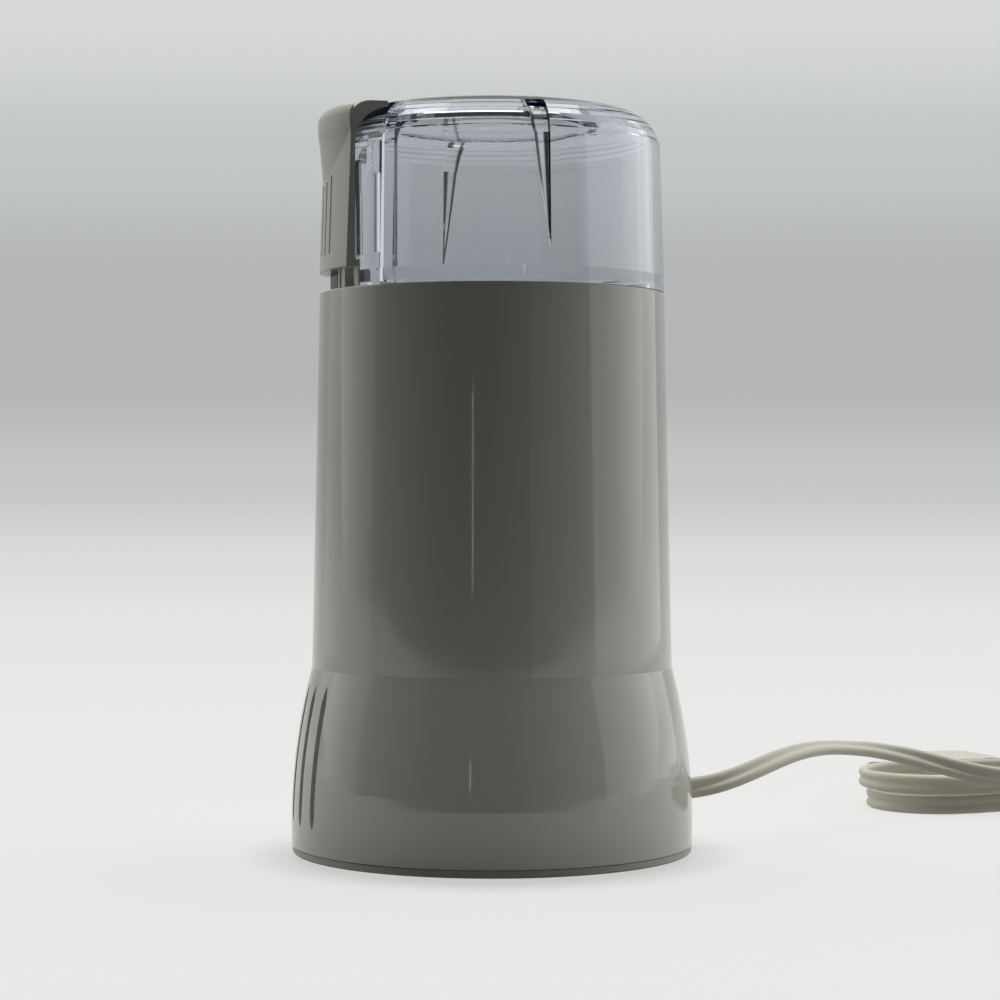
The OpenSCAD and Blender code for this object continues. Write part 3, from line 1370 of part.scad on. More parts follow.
// Smooth curve through the given points
function curve(p, steps) = [for (i = [0:len(p) - 2], k = [0:steps - 1])
    let (
        t = k / steps, a = p[max(i - 1, 0)], b = p[i], c = p[i + 1], d = p[min(i + 2, len(p) - 1)]
    ) 0.5 * (2 * b + (c - a) * t + (2 * a - 5 * b + 4 * c - d) * t * t
        + (3 * b - a - 3 * c + d) * t * t * t), p[len(p) - 1]];
module lead_tube(path) {
    sides = 6;
    points = [for (i = [0:len(path) - 1])
        let (
            h = heading(path, i), d = h / norm(h), side = cross(d, [0.1, 0.2, 1]),
            s = side / norm(side), u = cross(s, d)
        )
        for (j = [0:sides - 1]) path[i] + lead_r * (s * cos(60 * j) + u * sin(60 * j))];
    polyhedron(points, tube_faces(len(path), sides));
}

// Insulated leads: cord to switch, cord to brush, switch to coil, coil to brush
module motor_leads() {
    terminal = switch_z - terminal_drop;
    holder = commutator_r + 1.6 + 18;
    under = stack_z - coil_drop;
    color([0.75, 0.12, 0.10]) {
        lead_tube(curve([
            [0, 25.75, cord_z + 1.5], [0.2, 24.7, cord_z + 1.8], [4, 25.4, cord_z + 6],
            [14, 28.5, 24], [32, 20, 28], [37, 0, 34], [34, -19, 42], [20, -32, 47],
            [8.4, switch_y - 0.5, terminal - 4], [7, switch_y, terminal - 0.1]
        ], 4));
        lead_tube(curve([
            [0, 25.75, cord_z - 1.5], [-0.2, 24.7, cord_z - 1.3], [-3, 24.9, cord_z + 3],
            [-12, 27.5, 23], [-25, 27, 25], [-34, 17, 29],
            [-34, 6, 33], [-holder - 1, 0, brush_z]
        ], 4));
        lead_tube(curve([
            [-8, switch_y, terminal - 0.1], [-8.6, switch_y, terminal - 3], [-16, -32, 46],
            [-28, -22, 40], [-27, -8, 39], [-20.3, -6, under - 0.95]
        ], 4));
        lead_tube(curve([
            [20.3, 6, under - 0.95], [24, 7, 39.8], [30, 4, 37.6], [holder + 1, 0, brush_z]
        ], 4));
    }
}

housing();
bowl_well();
grinding_bowl();
bowl_seal();
base_cover();
base_screws();
rubber_feet();
lid();
switch_bar();
push_rod();
bar_springs();
interlock_pin();
interlock_spring();
blade();
blade_nut();
motor_shaft();
rotor_core();
rotor_windings();
commutator();
cooling_fan();
stator_core();
field_coils();
upper_bracket();
lower_bracket();
upper_bush();
lower_bush();
motor_screws();
motor_mounts();
brush_holders();
carbon_brushes();
brush_springs();
switch_body();
switch_lever();
switch_plunger();
switch_bracket();
motor_leads();
cord_clamp();
clamp_screws();
power_cord();
cord_hank();
cord_tie();
plug_body();
plug_blades();
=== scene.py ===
import math

import bmesh
import bpy
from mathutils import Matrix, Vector


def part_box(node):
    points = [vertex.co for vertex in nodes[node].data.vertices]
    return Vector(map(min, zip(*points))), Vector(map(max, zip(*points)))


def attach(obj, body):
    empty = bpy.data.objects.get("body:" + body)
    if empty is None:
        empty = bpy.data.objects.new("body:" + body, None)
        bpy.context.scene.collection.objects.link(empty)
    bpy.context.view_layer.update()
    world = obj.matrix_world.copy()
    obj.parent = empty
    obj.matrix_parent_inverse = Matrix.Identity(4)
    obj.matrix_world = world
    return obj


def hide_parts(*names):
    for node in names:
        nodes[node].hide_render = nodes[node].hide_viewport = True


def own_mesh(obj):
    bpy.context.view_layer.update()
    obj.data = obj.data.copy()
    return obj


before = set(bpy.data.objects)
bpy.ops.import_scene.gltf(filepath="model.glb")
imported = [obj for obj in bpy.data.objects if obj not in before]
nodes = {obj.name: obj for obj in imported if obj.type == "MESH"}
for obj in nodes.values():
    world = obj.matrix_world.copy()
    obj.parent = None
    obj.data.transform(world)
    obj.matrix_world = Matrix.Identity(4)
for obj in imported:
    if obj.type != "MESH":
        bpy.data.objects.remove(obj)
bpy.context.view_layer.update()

scene = bpy.context.scene

# ---- Camera ----------------------------------------------------------------
# A long lens at half the grinder's height, level with the table, looking at
# the right-hand side with the switch bar at the left edge of the picture.
camera_turn = math.radians(78)
camera_distance = 0.641
camera_height = 0.0914
camera_back = Vector((math.sin(camera_turn), -math.cos(camera_turn), 0))
camera_data = bpy.data.cameras.new("camera")
camera_data.sensor_width = 36
camera_data.lens = 92.3
camera_data.shift_x = 0.008
camera_data.shift_y = -0.012
camera_data.clip_start = 0.02
camera_data.clip_end = 20
camera = bpy.data.objects.new("camera", camera_data)
camera.location = camera_back * camera_distance + Vector((0, 0, camera_height))
camera.rotation_mode = "QUATERNION"
camera.rotation_quaternion = (-camera_back).to_track_quat("-Z", "Y")
scene.collection.objects.link(camera)
scene.camera = camera

# ---- Power cord ------------------------------------------------------------
# Flat two-core appliance cord of soft ivory vinyl, two round cores joined by a
# web with a groove on each side. It leaves the back, dips to the table and is
# folded into a hank beside the grinder, ending in its moulded plug.
MM = 0.001
cord_width = 5.3
cord_thickness = 2.6
# x, y, z in millimetres and the roll of the flat side in degrees
cord_route = [
    (0, 47, 15, 0), (0, 52, 15.2, 10), (-0.6, 58, 16, 25), (-2.4, 64, 17.3, 38),
    (-5.4, 70, 18.8, 46), (-9.4, 76, 20.2, 52), (-14, 82, 21.3, 58), (-18.8, 88, 21.9, 63),
    (-23.6, 94, 22, 66), (-28.2, 100, 21.6, 66), (-32.5, 106.4, 20.9, 62), (-36.3, 113, 20, 54),
    (-39.5, 120, 18.7, 43), (-41.8, 127.5, 17, 30), (-43.2, 135, 15, 17), (-44, 143, 12.9, 7),
    (-44.7, 151, 11.2, 0), (-46.3, 159, 10, 0), (-48.2, 167, 9.3, 0), (-49.7, 175, 9.1, 0),
    (-50.3, 183, 9, 0), (-49.7, 191, 9, 0), (-48.2, 199, 8.8, 0), (-46.4, 207, 8.6, 0),
    (-45, 215, 8.5, 0),
]
hank_x, hank_y, hank_run = -66, 142.4, 80
hank_fold, hank_step = 16, 3.8
hank_low, hank_layer, hank_waist, hank_lift = 2.68, 5.85, 6, 0.5
# A turn of the hank has 4 steps on each long side and 8 round each end
side_steps, end_steps, turn_steps = 4, 8, 24
step_angle = 180 / end_steps
hank_start, hank_turn_back, hank_end = 4 / turn_steps, 38 / turn_steps, 60 / turn_steps
whole_turn_slack = 0.0001
plug_x, plug_y, plug_half_thick = -100, 184, 5.5


def ease(s):
    """Slow start and slow end between 0 and 1."""
    return 2 * s * s if s < 0.5 else 1 - 2 * (1 - s) * (1 - s)


def hank_point(t):
    """Middle of the cord after t turns of the hank, in millimetres."""
    radius = hank_fold + hank_step * abs(t - hank_turn_back)
    half = 2 / turn_steps
    if t < hank_turn_back - half:
        level = 1
    elif t > hank_turn_back + half:
        level = 0
    else:
        level = 0.5 - 0.5 * math.sin(math.pi / 2 * (t - hank_turn_back) / half)
    z = hank_low + hank_layer * level
    q = (t - math.floor(t + whole_turn_slack)) * turn_steps
    first_end = side_steps + end_steps
    second_end = first_end + side_steps
    if q < side_steps or first_end <= q < second_end:
        out = q < side_steps
        along = q / side_steps if out else (q - first_end) / side_steps
        swell = 0.5 - 0.5 * math.cos(2 * math.pi * along)
        side = 1 if out else -1
        run = along if out else 1 - along
        return (hank_x + side * (radius - hank_waist * swell), hank_y + hank_run * run,
                z + hank_lift * swell)
    if q < first_end:
        a = math.radians((q - side_steps) * step_angle)
        return (hank_x + radius * math.cos(a), hank_y + hank_run + radius * math.sin(a), z)
    a = math.radians(180 + (q - second_end) * step_angle)
    return (hank_x + radius * math.cos(a), hank_y + radius * math.sin(a), z)


def curve_through(points, steps):
    """Catmull-Rom curve with steps rings for each stretch."""
    made = []
    for i in range(len(points) - 1):
        a, b = Vector(points[max(i - 1, 0)]), Vector(points[i])
        c, d = Vector(points[i + 1]), Vector(points[min(i + 2, len(points) - 1)])
        for k in range(steps):
            t = k / steps
            made.append(0.5 * (2 * b + (c - a) * t + (2 * a - 5 * b + 4 * c - d) * t * t
                               + (3 * b - a - 3 * c + d) * t * t * t))
    return made


first_on_hank = hank_point(hank_start)
inside_shell = (0, 44, 15, 0)
rings_per_stretch = 4
cord_points = [(tuple(p[:3]), p[3]) for p in curve_through(
    [inside_shell] + cord_route + [(*first_on_hank, 0)], rings_per_stretch)]
hank_rings = 72
hank_total = round((hank_end - hank_start) * hank_rings)
cord_points += [(hank_point(hank_start + i / hank_rings), 0) for i in range(hank_total + 1)]
tail_start = hank_point(hank_end)
tail_rings = 24
for i in range(1, tail_rings + 1):
    s = i / tail_rings
    e = ease(s)
    cord_points.append(((tail_start[0] + (plug_x - tail_start[0]) * e,
                         tail_start[1] + (plug_y - tail_start[1]) * s,
                         tail_start[2] + (plug_half_thick - tail_start[2]) * e), 90 * e))
# Section of the cord: two round cores with a groove between them
core_r = cord_thickness / 2
core_at = (cord_width - cord_thickness) / 2
groove_edge, core_step, core_points = -50, 28, 11
groove_share = 0.58
cord_section = []
for end in (1, -1):
    for step in range(core_points):
        a = math.radians(groove_edge + core_step * step)
        cord_section.append((end * core_r * math.cos(a), end * (core_at + core_r * math.sin(a))))
    cord_section.append((-end * core_r * groove_share, 0))


def sweep(name, path, rolls, section):
    """Closed tube of that section along the path, in millimetres."""
    verts, faces = [], []
    n = len(section)
    for i, p in enumerate(path):
        p = Vector(p)
        way = (Vector(path[min(i + 1, len(path) - 1)]) - Vector(path[max(i - 1, 0)])).normalized()
        side = way.cross(Vector((0, 0, 1))).normalized()
        up = side.cross(way)
        a = math.radians(rolls[i])
        s = side * math.cos(a) + up * math.sin(a)
        u = up * math.cos(a) - side * math.sin(a)
        verts += [(p + s * x + u * y) * MM for x, y in section]
        if i:
            for j in range(n):
                k = (j + 1) % n
                faces.append(((i - 1) * n + j, i * n + j, i * n + k, (i - 1) * n + k))
    last = (len(path) - 1) * n
    faces.append(tuple(range(n)))
    faces.append(tuple(last + j for j in reversed(range(n))))
    mesh = bpy.data.meshes.new(name)
    mesh.from_pydata(verts, [], faces)
    mesh.update()
    made = bpy.data.objects.new(name, mesh)
    scene.collection.objects.link(made)
    for face in mesh.polygons:
        face.use_smooth = len(face.vertices) == 4
    return made


def sweep_outward(made):
    """Turns the faces so that they all look out of the solid."""
    work = bmesh.new()
    work.from_mesh(made.data)
    bmesh.ops.recalc_face_normals(work, faces=work.faces)
    work.to_mesh(made.data)
    work.free()


cord = sweep("cord", [p for p, roll in cord_points], [roll for p, roll in cord_points],
             cord_section)
sweep_outward(cord)


def colour(code):
    """Linear colour with full alpha from an sRGB hex code."""
    parts = [int(code[i:i + 2], 16) / 255 for i in (1, 3, 5)]
    return (*(c / 12.92 if c <= 0.04045 else ((c + 0.055) / 1.055) ** 2.4 for c in parts), 1)


def add_node(tree, kind, links=None, **settings):
    """Adds a node, sets its properties, and sets or links its inputs."""
    node = tree.nodes.new(kind)
    for key, value in settings.items():
        setattr(node, key, value)
    for key, value in (links or {}).items():
        if isinstance(value, bpy.types.NodeSocket):
            tree.links.new(value, node.inputs[key])
        else:
            node.inputs[key].default_value = value
    return node


def new_material(name):
    """An empty node material and its tree."""
    material = bpy.data.materials.new(name)
    material.use_nodes = True
    material.node_tree.nodes.clear()
    return material, material.node_tree


def show(tree, shader):
    """Puts the shader on the surface."""
    add_node(tree, "ShaderNodeOutputMaterial", {"Surface": shader.outputs[0]})


def dress(material, *names):
    """Gives these CAD nodes that one material."""
    for name in names:
        nodes[name].data.materials.clear()
        nodes[name].data.materials.append(material)


# Plasticised PVC, extruded: a soft sheen, with handling marks some 18 mm long
# and a die grain drawn coarser than the real 0.1 mm so that it shows
vinyl, tree = new_material("ivory_vinyl")
place = add_node(tree, "ShaderNodeTexCoord").outputs["Object"]
grime_and_flute_shade = add_node(tree, "ShaderNodeTexNoise", {
    "Vector": place, "Scale": 1 / (18 * MM), "Detail": 5.0})
tint = add_node(tree, "ShaderNodeMix", {
    "Factor": grime_and_flute_shade.outputs["Fac"], 6: colour("#e7e2cf"), 7: colour("#f1eddf")}, data_type="RGBA")
grain = add_node(tree, "ShaderNodeTexNoise", {
    "Vector": place, "Scale": 1 / (0.6 * MM), "Detail": 2.0})
relief = add_node(tree, "ShaderNodeBump", {
    "Height": grain.outputs["Fac"], "Strength": 0.15, "Distance": 0.1 * MM})
sheen = add_node(tree, "ShaderNodeMapRange", {
    "Value": grime_and_flute_shade.outputs["Fac"], "To Min": 0.32, "To Max": 0.48})
show(tree, add_node(tree, "ShaderNodeBsdfPrincipled", {
    "Base Color": tint.outputs[2], "Roughness": sheen.outputs[0], "Normal": relief.outputs[0],
    "IOR": 1.52, "Subsurface Weight": 0.05, "Subsurface Radius": (0.002, 0.0015, 0.001),
    "Subsurface Scale": 0.5}))
cord.data.materials.append(vinyl)
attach(cord, "body")
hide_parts("power_cord", "cord_hank")

# ---- Plug ------------------------------------------------------------------
# Two-blade plug moulded on the cord's end in the same ivory vinyl, lying flat.
# Its folded brass blades carry a thin bright plating with rubbed flanks.
dress(vinyl, "plug_body")
# Nickel-plated brass, rubbed through in patches: bright, yellower where worn
blade_brass, tree = new_material("plated_brass")
place = add_node(tree, "ShaderNodeTexCoord").outputs["Object"]
rub = add_node(tree, "ShaderNodeTexNoise", {"Vector": place, "Scale": 1 / (3 * MM), "Detail": 6.0})
tint = add_node(tree, "ShaderNodeMix", {
    "Factor": rub.outputs["Fac"], 6: colour("#c9b98a"), 7: colour("#d9d2bd")}, data_type="RGBA")
gloss = add_node(tree, "ShaderNodeMapRange", {
    "Value": rub.outputs["Fac"], "To Min": 0.18, "To Max": 0.42})
show(tree, add_node(tree, "ShaderNodeBsdfPrincipled", {
    "Base Color": tint.outputs[2], "Roughness": gloss.outputs[0], "Metallic": 1.0}))
dress(blade_brass, "plug_blades")

# ---- Cord tie --------------------------------------------------------------
# Wire tie in a flat black plastic ribbon, laid round the drawn-in waist of the
# hank. Its two ends are twisted together and stand up on top.
tie_low, tie_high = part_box("cord_tie")
strap_width = 4.0
strap_thick = 0.45
tie_inset = 0.25
tie_left, tie_right = tie_low.x / MM + tie_inset, tie_high.x / MM - tie_inset
tie_mid = (tie_low.y + tie_high.y) / 2 / MM
tie_bottom = 0.28
tie_slack = 0.4
tie_top = hank_low + hank_lift + hank_layer + cord_width / 2 + tie_slack
corner_round = 1.6
corner_points, corner_step = 6, 18
strap_path = []
for cx, cz, a0 in ((tie_right, tie_bottom, -90), (tie_right, tie_top, 0),
                   (tie_left, tie_top, 90), (tie_left, tie_bottom, 180)):
    sx = -1 if cx == tie_right else 1
    sz = 1 if cz == tie_bottom else -1
    for k in range(corner_points):
        a = math.radians(a0 + corner_step * k)
        strap_path.append((cx + sx * corner_round + corner_round * math.cos(a), tie_mid,
                           cz + sz * corner_round + corner_round * math.sin(a)))
strap_verts, strap_faces = [], []
# The wire inside raises a rib along the middle
rib, rib_foot, rib_top = 0.28, 0.7, 0.4
strap_shape = [(-strap_width / 2, 0), (-rib_foot, 0), (-rib_top, rib), (rib_top, rib),
               (rib_foot, 0), (strap_width / 2, 0),
               (strap_width / 2, -strap_thick), (-strap_width / 2, -strap_thick)]
count = len(strap_path)
shape_n = len(strap_shape)
for i, p in enumerate(strap_path):
    before, after = Vector(strap_path[i - 1]), Vector(strap_path[(i + 1) % count])
    way = (after - before).normalized()
    out = Vector((way.z, 0, -way.x))
    for across, high in strap_shape:
        strap_verts.append((Vector(p) + Vector((0, across, 0)) + out * high) * MM)
    for j in range(shape_n):
        k = (j + 1) % shape_n
        n = (i + 1) % count
        strap_faces.append((i * shape_n + j, n * shape_n + j, n * shape_n + k, i * shape_n + k))
strap_mesh = bpy.data.meshes.new("tie_strap")
strap_mesh.from_pydata(strap_verts, [], strap_faces)
tie_strap = bpy.data.objects.new("tie_strap", strap_mesh)
scene.collection.objects.link(tie_strap)
sweep_outward(tie_strap)
# The twisted ends: two ribbons wound round each other
twist_high = 8.0
twist_turns = 2.5
twist_rings = 40
twist_apart, twist_lift = 0.55, 0.1
splay, splay_from, splay_rate = 0.9, 0.8, 5
twist_mid_x = (tie_left + tie_right) / 2
end_wide, end_thick = 0.45, 0.3
end_round = [(end_wide * math.cos(math.radians(k)), end_thick * math.sin(math.radians(k)))
             for k in range(0, 360, 45)]
tie_ends = []
for strand in (0, 180):
    path = []
    for i in range(twist_rings + 1):
        s = i / twist_rings
        a = math.radians(360 * twist_turns * s + strand)
        spread = twist_apart + splay * max(0, s - splay_from) * splay_rate
        path.append((twist_mid_x + spread * math.cos(a), tie_mid + spread * math.sin(a),
                     tie_top + twist_lift + twist_high * s))
    end = sweep("tie_end_%d" % (1 + strand // 180), path, [0] * len(path), end_round)
    sweep_outward(end)
    tie_ends.append(end)
# Glossy black polyethylene ribbon: dark, with a soft highlight
ribbon, tree = new_material("tie_ribbon")
place = add_node(tree, "ShaderNodeTexCoord").outputs["Object"]
crease = add_node(tree, "ShaderNodeTexNoise", {
    "Vector": place, "Scale": 1 / (1.2 * MM), "Detail": 3.0})
relief = add_node(tree, "ShaderNodeBump", {
    "Height": crease.outputs["Fac"], "Strength": 0.3, "Distance": 0.1 * MM})
tint = add_node(tree, "ShaderNodeMix", {
    "Factor": crease.outputs["Fac"], 6: colour("#141414"), 7: colour("#262626")}, data_type="RGBA")
show(tree, add_node(tree, "ShaderNodeBsdfPrincipled", {
    "Base Color": tint.outputs[2], "Roughness": 0.4, "Normal": relief.outputs[0], "IOR": 1.5}))
for piece in (tie_strap, *tie_ends):
    piece.data.materials.append(ribbon)
    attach(piece, "body")
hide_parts("cord_tie")

# ---- Body shell ------------------------------------------------------------
# One injection moulding in warm white ABS from a polished tool: a tapered
# barrel on a flared foot, with upright air slots at the front.

# Polished ABS: clear reflections, dulled a little in hand smears some 12 mm
# long and bent by a faint orange peel
shell_abs, tree = new_material("polished_abs")
place = add_node(tree, "ShaderNodeTexCoord").outputs["Object"]
ageing = add_node(tree, "ShaderNodeTexNoise", {
    "Vector": place, "Scale": 1 / (50 * MM), "Detail": 3.0})
tint = add_node(tree, "ShaderNodeMix", {
    "Factor": ageing.outputs["Fac"], 6: colour("#dedfd6"), 7: colour("#e6e7df")}, data_type="RGBA")
smear = add_node(tree, "ShaderNodeTexNoise", {
    "Vector": place, "Scale": 1 / (12 * MM), "Detail": 6.0})
gloss = add_node(tree, "ShaderNodeMapRange", {
    "Value": smear.outputs["Fac"], "From Min": 0.4, "From Max": 0.75,
    "To Min": 0.05, "To Max": 0.1})
peel = add_node(tree, "ShaderNodeTexNoise", {"Vector": place, "Scale": 1 / (4 * MM), "Detail": 1.0})
relief = add_node(tree, "ShaderNodeBump", {
    "Height": peel.outputs["Fac"], "Strength": 0.05, "Distance": 0.1 * MM})
show(tree, add_node(tree, "ShaderNodeBsdfPrincipled", {
    "Base Color": tint.outputs[2], "Roughness": gloss.outputs[0], "Normal": relief.outputs[0],
    "IOR": 1.53}))
dress(shell_abs, "housing")

# ---- Switch bar ------------------------------------------------------------
# The same ABS in a lightly honed tool, so that the thumb's nose and the grip
# grooves have a satin look beside the polished shell.

# Satin ABS: wide, soft highlights. The honed grain is drawn coarser than the
# real 0.05 mm so that it shows.
bar_abs, tree = new_material("satin_abs")
place = add_node(tree, "ShaderNodeTexCoord").outputs["Object"]
ageing = add_node(tree, "ShaderNodeTexNoise", {
    "Vector": place, "Scale": 1 / (20 * MM), "Detail": 4.0})
tint = add_node(tree, "ShaderNodeMix", {
    "Factor": ageing.outputs["Fac"], 6: colour("#dddcd2"), 7: colour("#e8e7de")}, data_type="RGBA")
grain = add_node(tree, "ShaderNodeTexNoise", {
    "Vector": place, "Scale": 1 / (0.5 * MM), "Detail": 2.0})
relief = add_node(tree, "ShaderNodeBump", {
    "Height": grain.outputs["Fac"], "Strength": 0.12, "Distance": 0.05 * MM})
show(tree, add_node(tree, "ShaderNodeBsdfPrincipled", {
    "Base Color": tint.outputs[2], "Roughness": 0.36, "Normal": relief.outputs[0], "IOR": 1.53}))
dress(bar_abs, "switch_bar")

# ---- Lid -------------------------------------------------------------------
# Clear SAN with a breath of violet smoke, moulded in one piece. It is bright
# at the polished shoulder and hazed by fine scratches where it is gripped.

# Polished clear plastic with a volume tint. The scratches are drawn coarser
# than the real 0.05 mm so that their haze shows.
lid_clear, tree = new_material("clear_smoke_san")
place = add_node(tree, "ShaderNodeTexCoord").outputs["Object"]
scratch_way = add_node(tree, "ShaderNodeMapping", {
    "Vector": place, "Scale": (1, 1, 0.16), "Rotation": (0.5, 0.2, 0)})
scratch = add_node(tree, "ShaderNodeTexNoise", {
    "Vector": scratch_way.outputs[0], "Scale": 1 / (0.7 * MM), "Detail": 2.0})
haze = add_node(tree, "ShaderNodeMapRange", {
    "Value": scratch.outputs["Fac"], "From Min": 0.62, "From Max": 0.8,
    "To Min": 0.012, "To Max": 0.16})
wave = add_node(tree, "ShaderNodeTexNoise", {
    "Vector": place, "Scale": 1 / (10 * MM), "Detail": 1.0})
relief = add_node(tree, "ShaderNodeBump", {
    "Height": wave.outputs["Fac"], "Strength": 0.04, "Distance": 0.1 * MM})
polished = add_node(tree, "ShaderNodeBsdfPrincipled", {
    "Base Color": colour("#eaedee"), "Roughness": haze.outputs[0], "Normal": relief.outputs[0],
    "IOR": 1.55, "Transmission Weight": 1.0})
# A broken dark grey line runs along the step of the crown's disc
spot = add_node(tree, "ShaderNodeSeparateXYZ", {"Vector": place})
flat_place = add_node(tree, "ShaderNodeCombineXYZ", {
    "X": spot.outputs["X"], "Y": spot.outputs["Y"]})
radius = add_node(tree, "ShaderNodeVectorMath", {0: flat_place.outputs[0]}, operation="LENGTH")
disc_line_r, disc_line_half, disc_line_low = 0.0255, 0.0009, 0.176
ring = add_node(tree, "ShaderNodeMath", {
    0: radius.outputs["Value"], 1: disc_line_r, 2: disc_line_half}, operation="COMPARE")
high = add_node(tree, "ShaderNodeMath", {
    0: spot.outputs["Z"], 1: disc_line_low}, operation="GREATER_THAN")
line_gaps = add_node(tree, "ShaderNodeTexNoise", {
    "Vector": place, "Scale": 1 / (1.6 * MM), "Detail": 3.0})
broken = add_node(tree, "ShaderNodeMapRange", {
    "Value": line_gaps.outputs["Fac"], "From Min": 0.36, "From Max": 0.5, "To Max": 0.9})
line = add_node(tree, "ShaderNodeMath", {
    0: ring.outputs[0], 1: high.outputs[0]}, operation="MULTIPLY")
disc_line_on = add_node(tree, "ShaderNodeMath", {
    0: line.outputs[0], 1: broken.outputs[0]}, operation="MULTIPLY")
# The dark grey of that line, laid over the clear plastic
dust_and_disc_line = add_node(tree, "ShaderNodeBsdfDiffuse", {"Color": colour("#514d50")})
with_disc_line = add_node(tree, "ShaderNodeMixShader", {
    0: disc_line_on.outputs[0], 1: polished.outputs[0], 2: dust_and_disc_line.outputs[0]})
# Painted shade: a dark glossy band along both edges of each grip flute, which widens towards the
# top
flute_turn, flute_tip, flute_top = math.radians(7), 0.148, 0.1848
flute_spread = math.radians(7.7) / 0.038
mirror = add_node(tree, "ShaderNodeMath", {0: spot.outputs["X"]}, operation="SIGN")
side_y = add_node(tree, "ShaderNodeMath", {
    0: spot.outputs["Y"], 1: mirror.outputs[0]}, operation="MULTIPLY")
side_x = add_node(tree, "ShaderNodeMath", {0: spot.outputs["X"]}, operation="ABSOLUTE")
angle = add_node(tree, "ShaderNodeMath", {
    0: side_y.outputs[0], 1: side_x.outputs[0]}, operation="ARCTAN2")
inward = add_node(tree, "ShaderNodeMath", {
    0: flute_turn, 1: angle.outputs[0]}, operation="SUBTRACT")
rise = add_node(tree, "ShaderNodeMath", {
    0: spot.outputs["Z"], 1: flute_tip}, operation="SUBTRACT")
spread = add_node(tree, "ShaderNodeMath", {
    0: rise.outputs[0], 1: flute_spread}, operation="MULTIPLY")
across = add_node(tree, "ShaderNodeMath", {
    0: inward.outputs[0], 1: spread.outputs[0]}, operation="DIVIDE")
edges = add_node(tree, "ShaderNodeValToRGB", {"Fac": across.outputs[0]})


def fill_ramp(ramp, tones):
    """Gives a colour ramp its (place, colour) stops, the first at 0, the last at 1."""
    for where, tone in tones:
        if where in (0.0, 1.0):
            stop = ramp.elements[0 if where == 0.0 else -1]
        else:
            stop = ramp.elements.new(where)
        stop.color = tone


# Where across each flute the painted shade lies
flute_shade_across = ((0.0, 0.0), (0.02, 0.95), (0.3, 0.9), (0.42, 0.0),
                (0.72, 0.0), (0.84, 0.85), (0.98, 0.85), (1.0, 0.0))
fill_ramp(edges.color_ramp, [(where, (level, level, level, 1)) for where, level in flute_shade_across])
# It lies on the outer skin only, which bends over the shoulder's round
shoulder_r, shoulder_z = 0.0326, 0.1751
over = add_node(tree, "ShaderNodeMath", {
    0: spot.outputs["Z"], 1: shoulder_z}, operation="SUBTRACT")
round_up = add_node(tree, "ShaderNodeMath", {0: over.outputs[0], 1: 0.0}, operation="MAXIMUM")
round_out = add_node(tree, "ShaderNodeMath", {
    0: radius.outputs["Value"], 1: shoulder_r}, operation="SUBTRACT")
from_round = add_node(tree, "ShaderNodeVectorMath", {0: add_node(tree, "ShaderNodeCombineXYZ", {
    "X": round_out.outputs[0], "Y": round_up.outputs[0]}).outputs[0]}, operation="LENGTH")
outer_mid, outer_half = 0.0092, 0.00125
outside = add_node(tree, "ShaderNodeMath", {
    0: from_round.outputs["Value"], 1: outer_mid, 2: outer_half}, operation="COMPARE")
below = add_node(tree, "ShaderNodeMath", {
    0: spot.outputs["Z"], 1: flute_top}, operation="LESS_THAN")
tip_clear = 0.0005
above = add_node(tree, "ShaderNodeMath", {
    0: rise.outputs[0], 1: tip_clear}, operation="GREATER_THAN")
zone = add_node(tree, "ShaderNodeMath", {
    0: outside.outputs[0], 1: below.outputs[0]}, operation="MULTIPLY")
zone_up = add_node(tree, "ShaderNodeMath", {
    0: zone.outputs[0], 1: above.outputs[0]}, operation="MULTIPLY")
flute_shade_on = add_node(tree, "ShaderNodeMath", {
    0: zone_up.outputs[0], 1: edges.outputs[0]}, operation="MULTIPLY")
# The dark glossy colour of that painted shade on the flute edges
grime_and_flute_shade = add_node(tree, "ShaderNodeBsdfPrincipled", {
    "Base Color": colour("#1f1e22"), "Roughness": 0.2})
flute_shaded = add_node(tree, "ShaderNodeMixShader", {
    0: flute_shade_on.outputs[0], 1: with_disc_line.outputs[0], 2: grime_and_flute_shade.outputs[0]})
# The seating step inside the foot hardly shows in the real lid, so it is clear
step_mid, step_half, step_r = 0.1423, 0.0015, 0.0412
level = add_node(tree, "ShaderNodeMath", {
    0: spot.outputs["Z"], 1: step_mid, 2: step_half}, operation="COMPARE")
inner = add_node(tree, "ShaderNodeMath", {
    0: radius.outputs["Value"], 1: step_r}, operation="LESS_THAN")
on_step = add_node(tree, "ShaderNodeMath", {
    0: level.outputs[0], 1: inner.outputs[0]}, operation="MULTIPLY")
clear_step = add_node(tree, "ShaderNodeBsdfTransparent", {"Color": colour("#f2f3f4")})
surface = add_node(tree, "ShaderNodeMixShader", {
    0: on_step.outputs[0], 1: flute_shaded.outputs[0], 2: clear_step.outputs[0]})
smoke = add_node(tree, "ShaderNodeVolumeAbsorption", {"Color": colour("#d9d8ef"), "Density": 55.0})
add_node(tree, "ShaderNodeOutputMaterial", {
    "Surface": surface.outputs[0], "Volume": smoke.outputs[0]})
dress(lid_clear, "lid")

# ---- Grinding bowl ---------------------------------------------------------
# Deep-drawn stainless steel, spun and brushed round the axis, so that the light
# draws fine rings on its wall and floor.

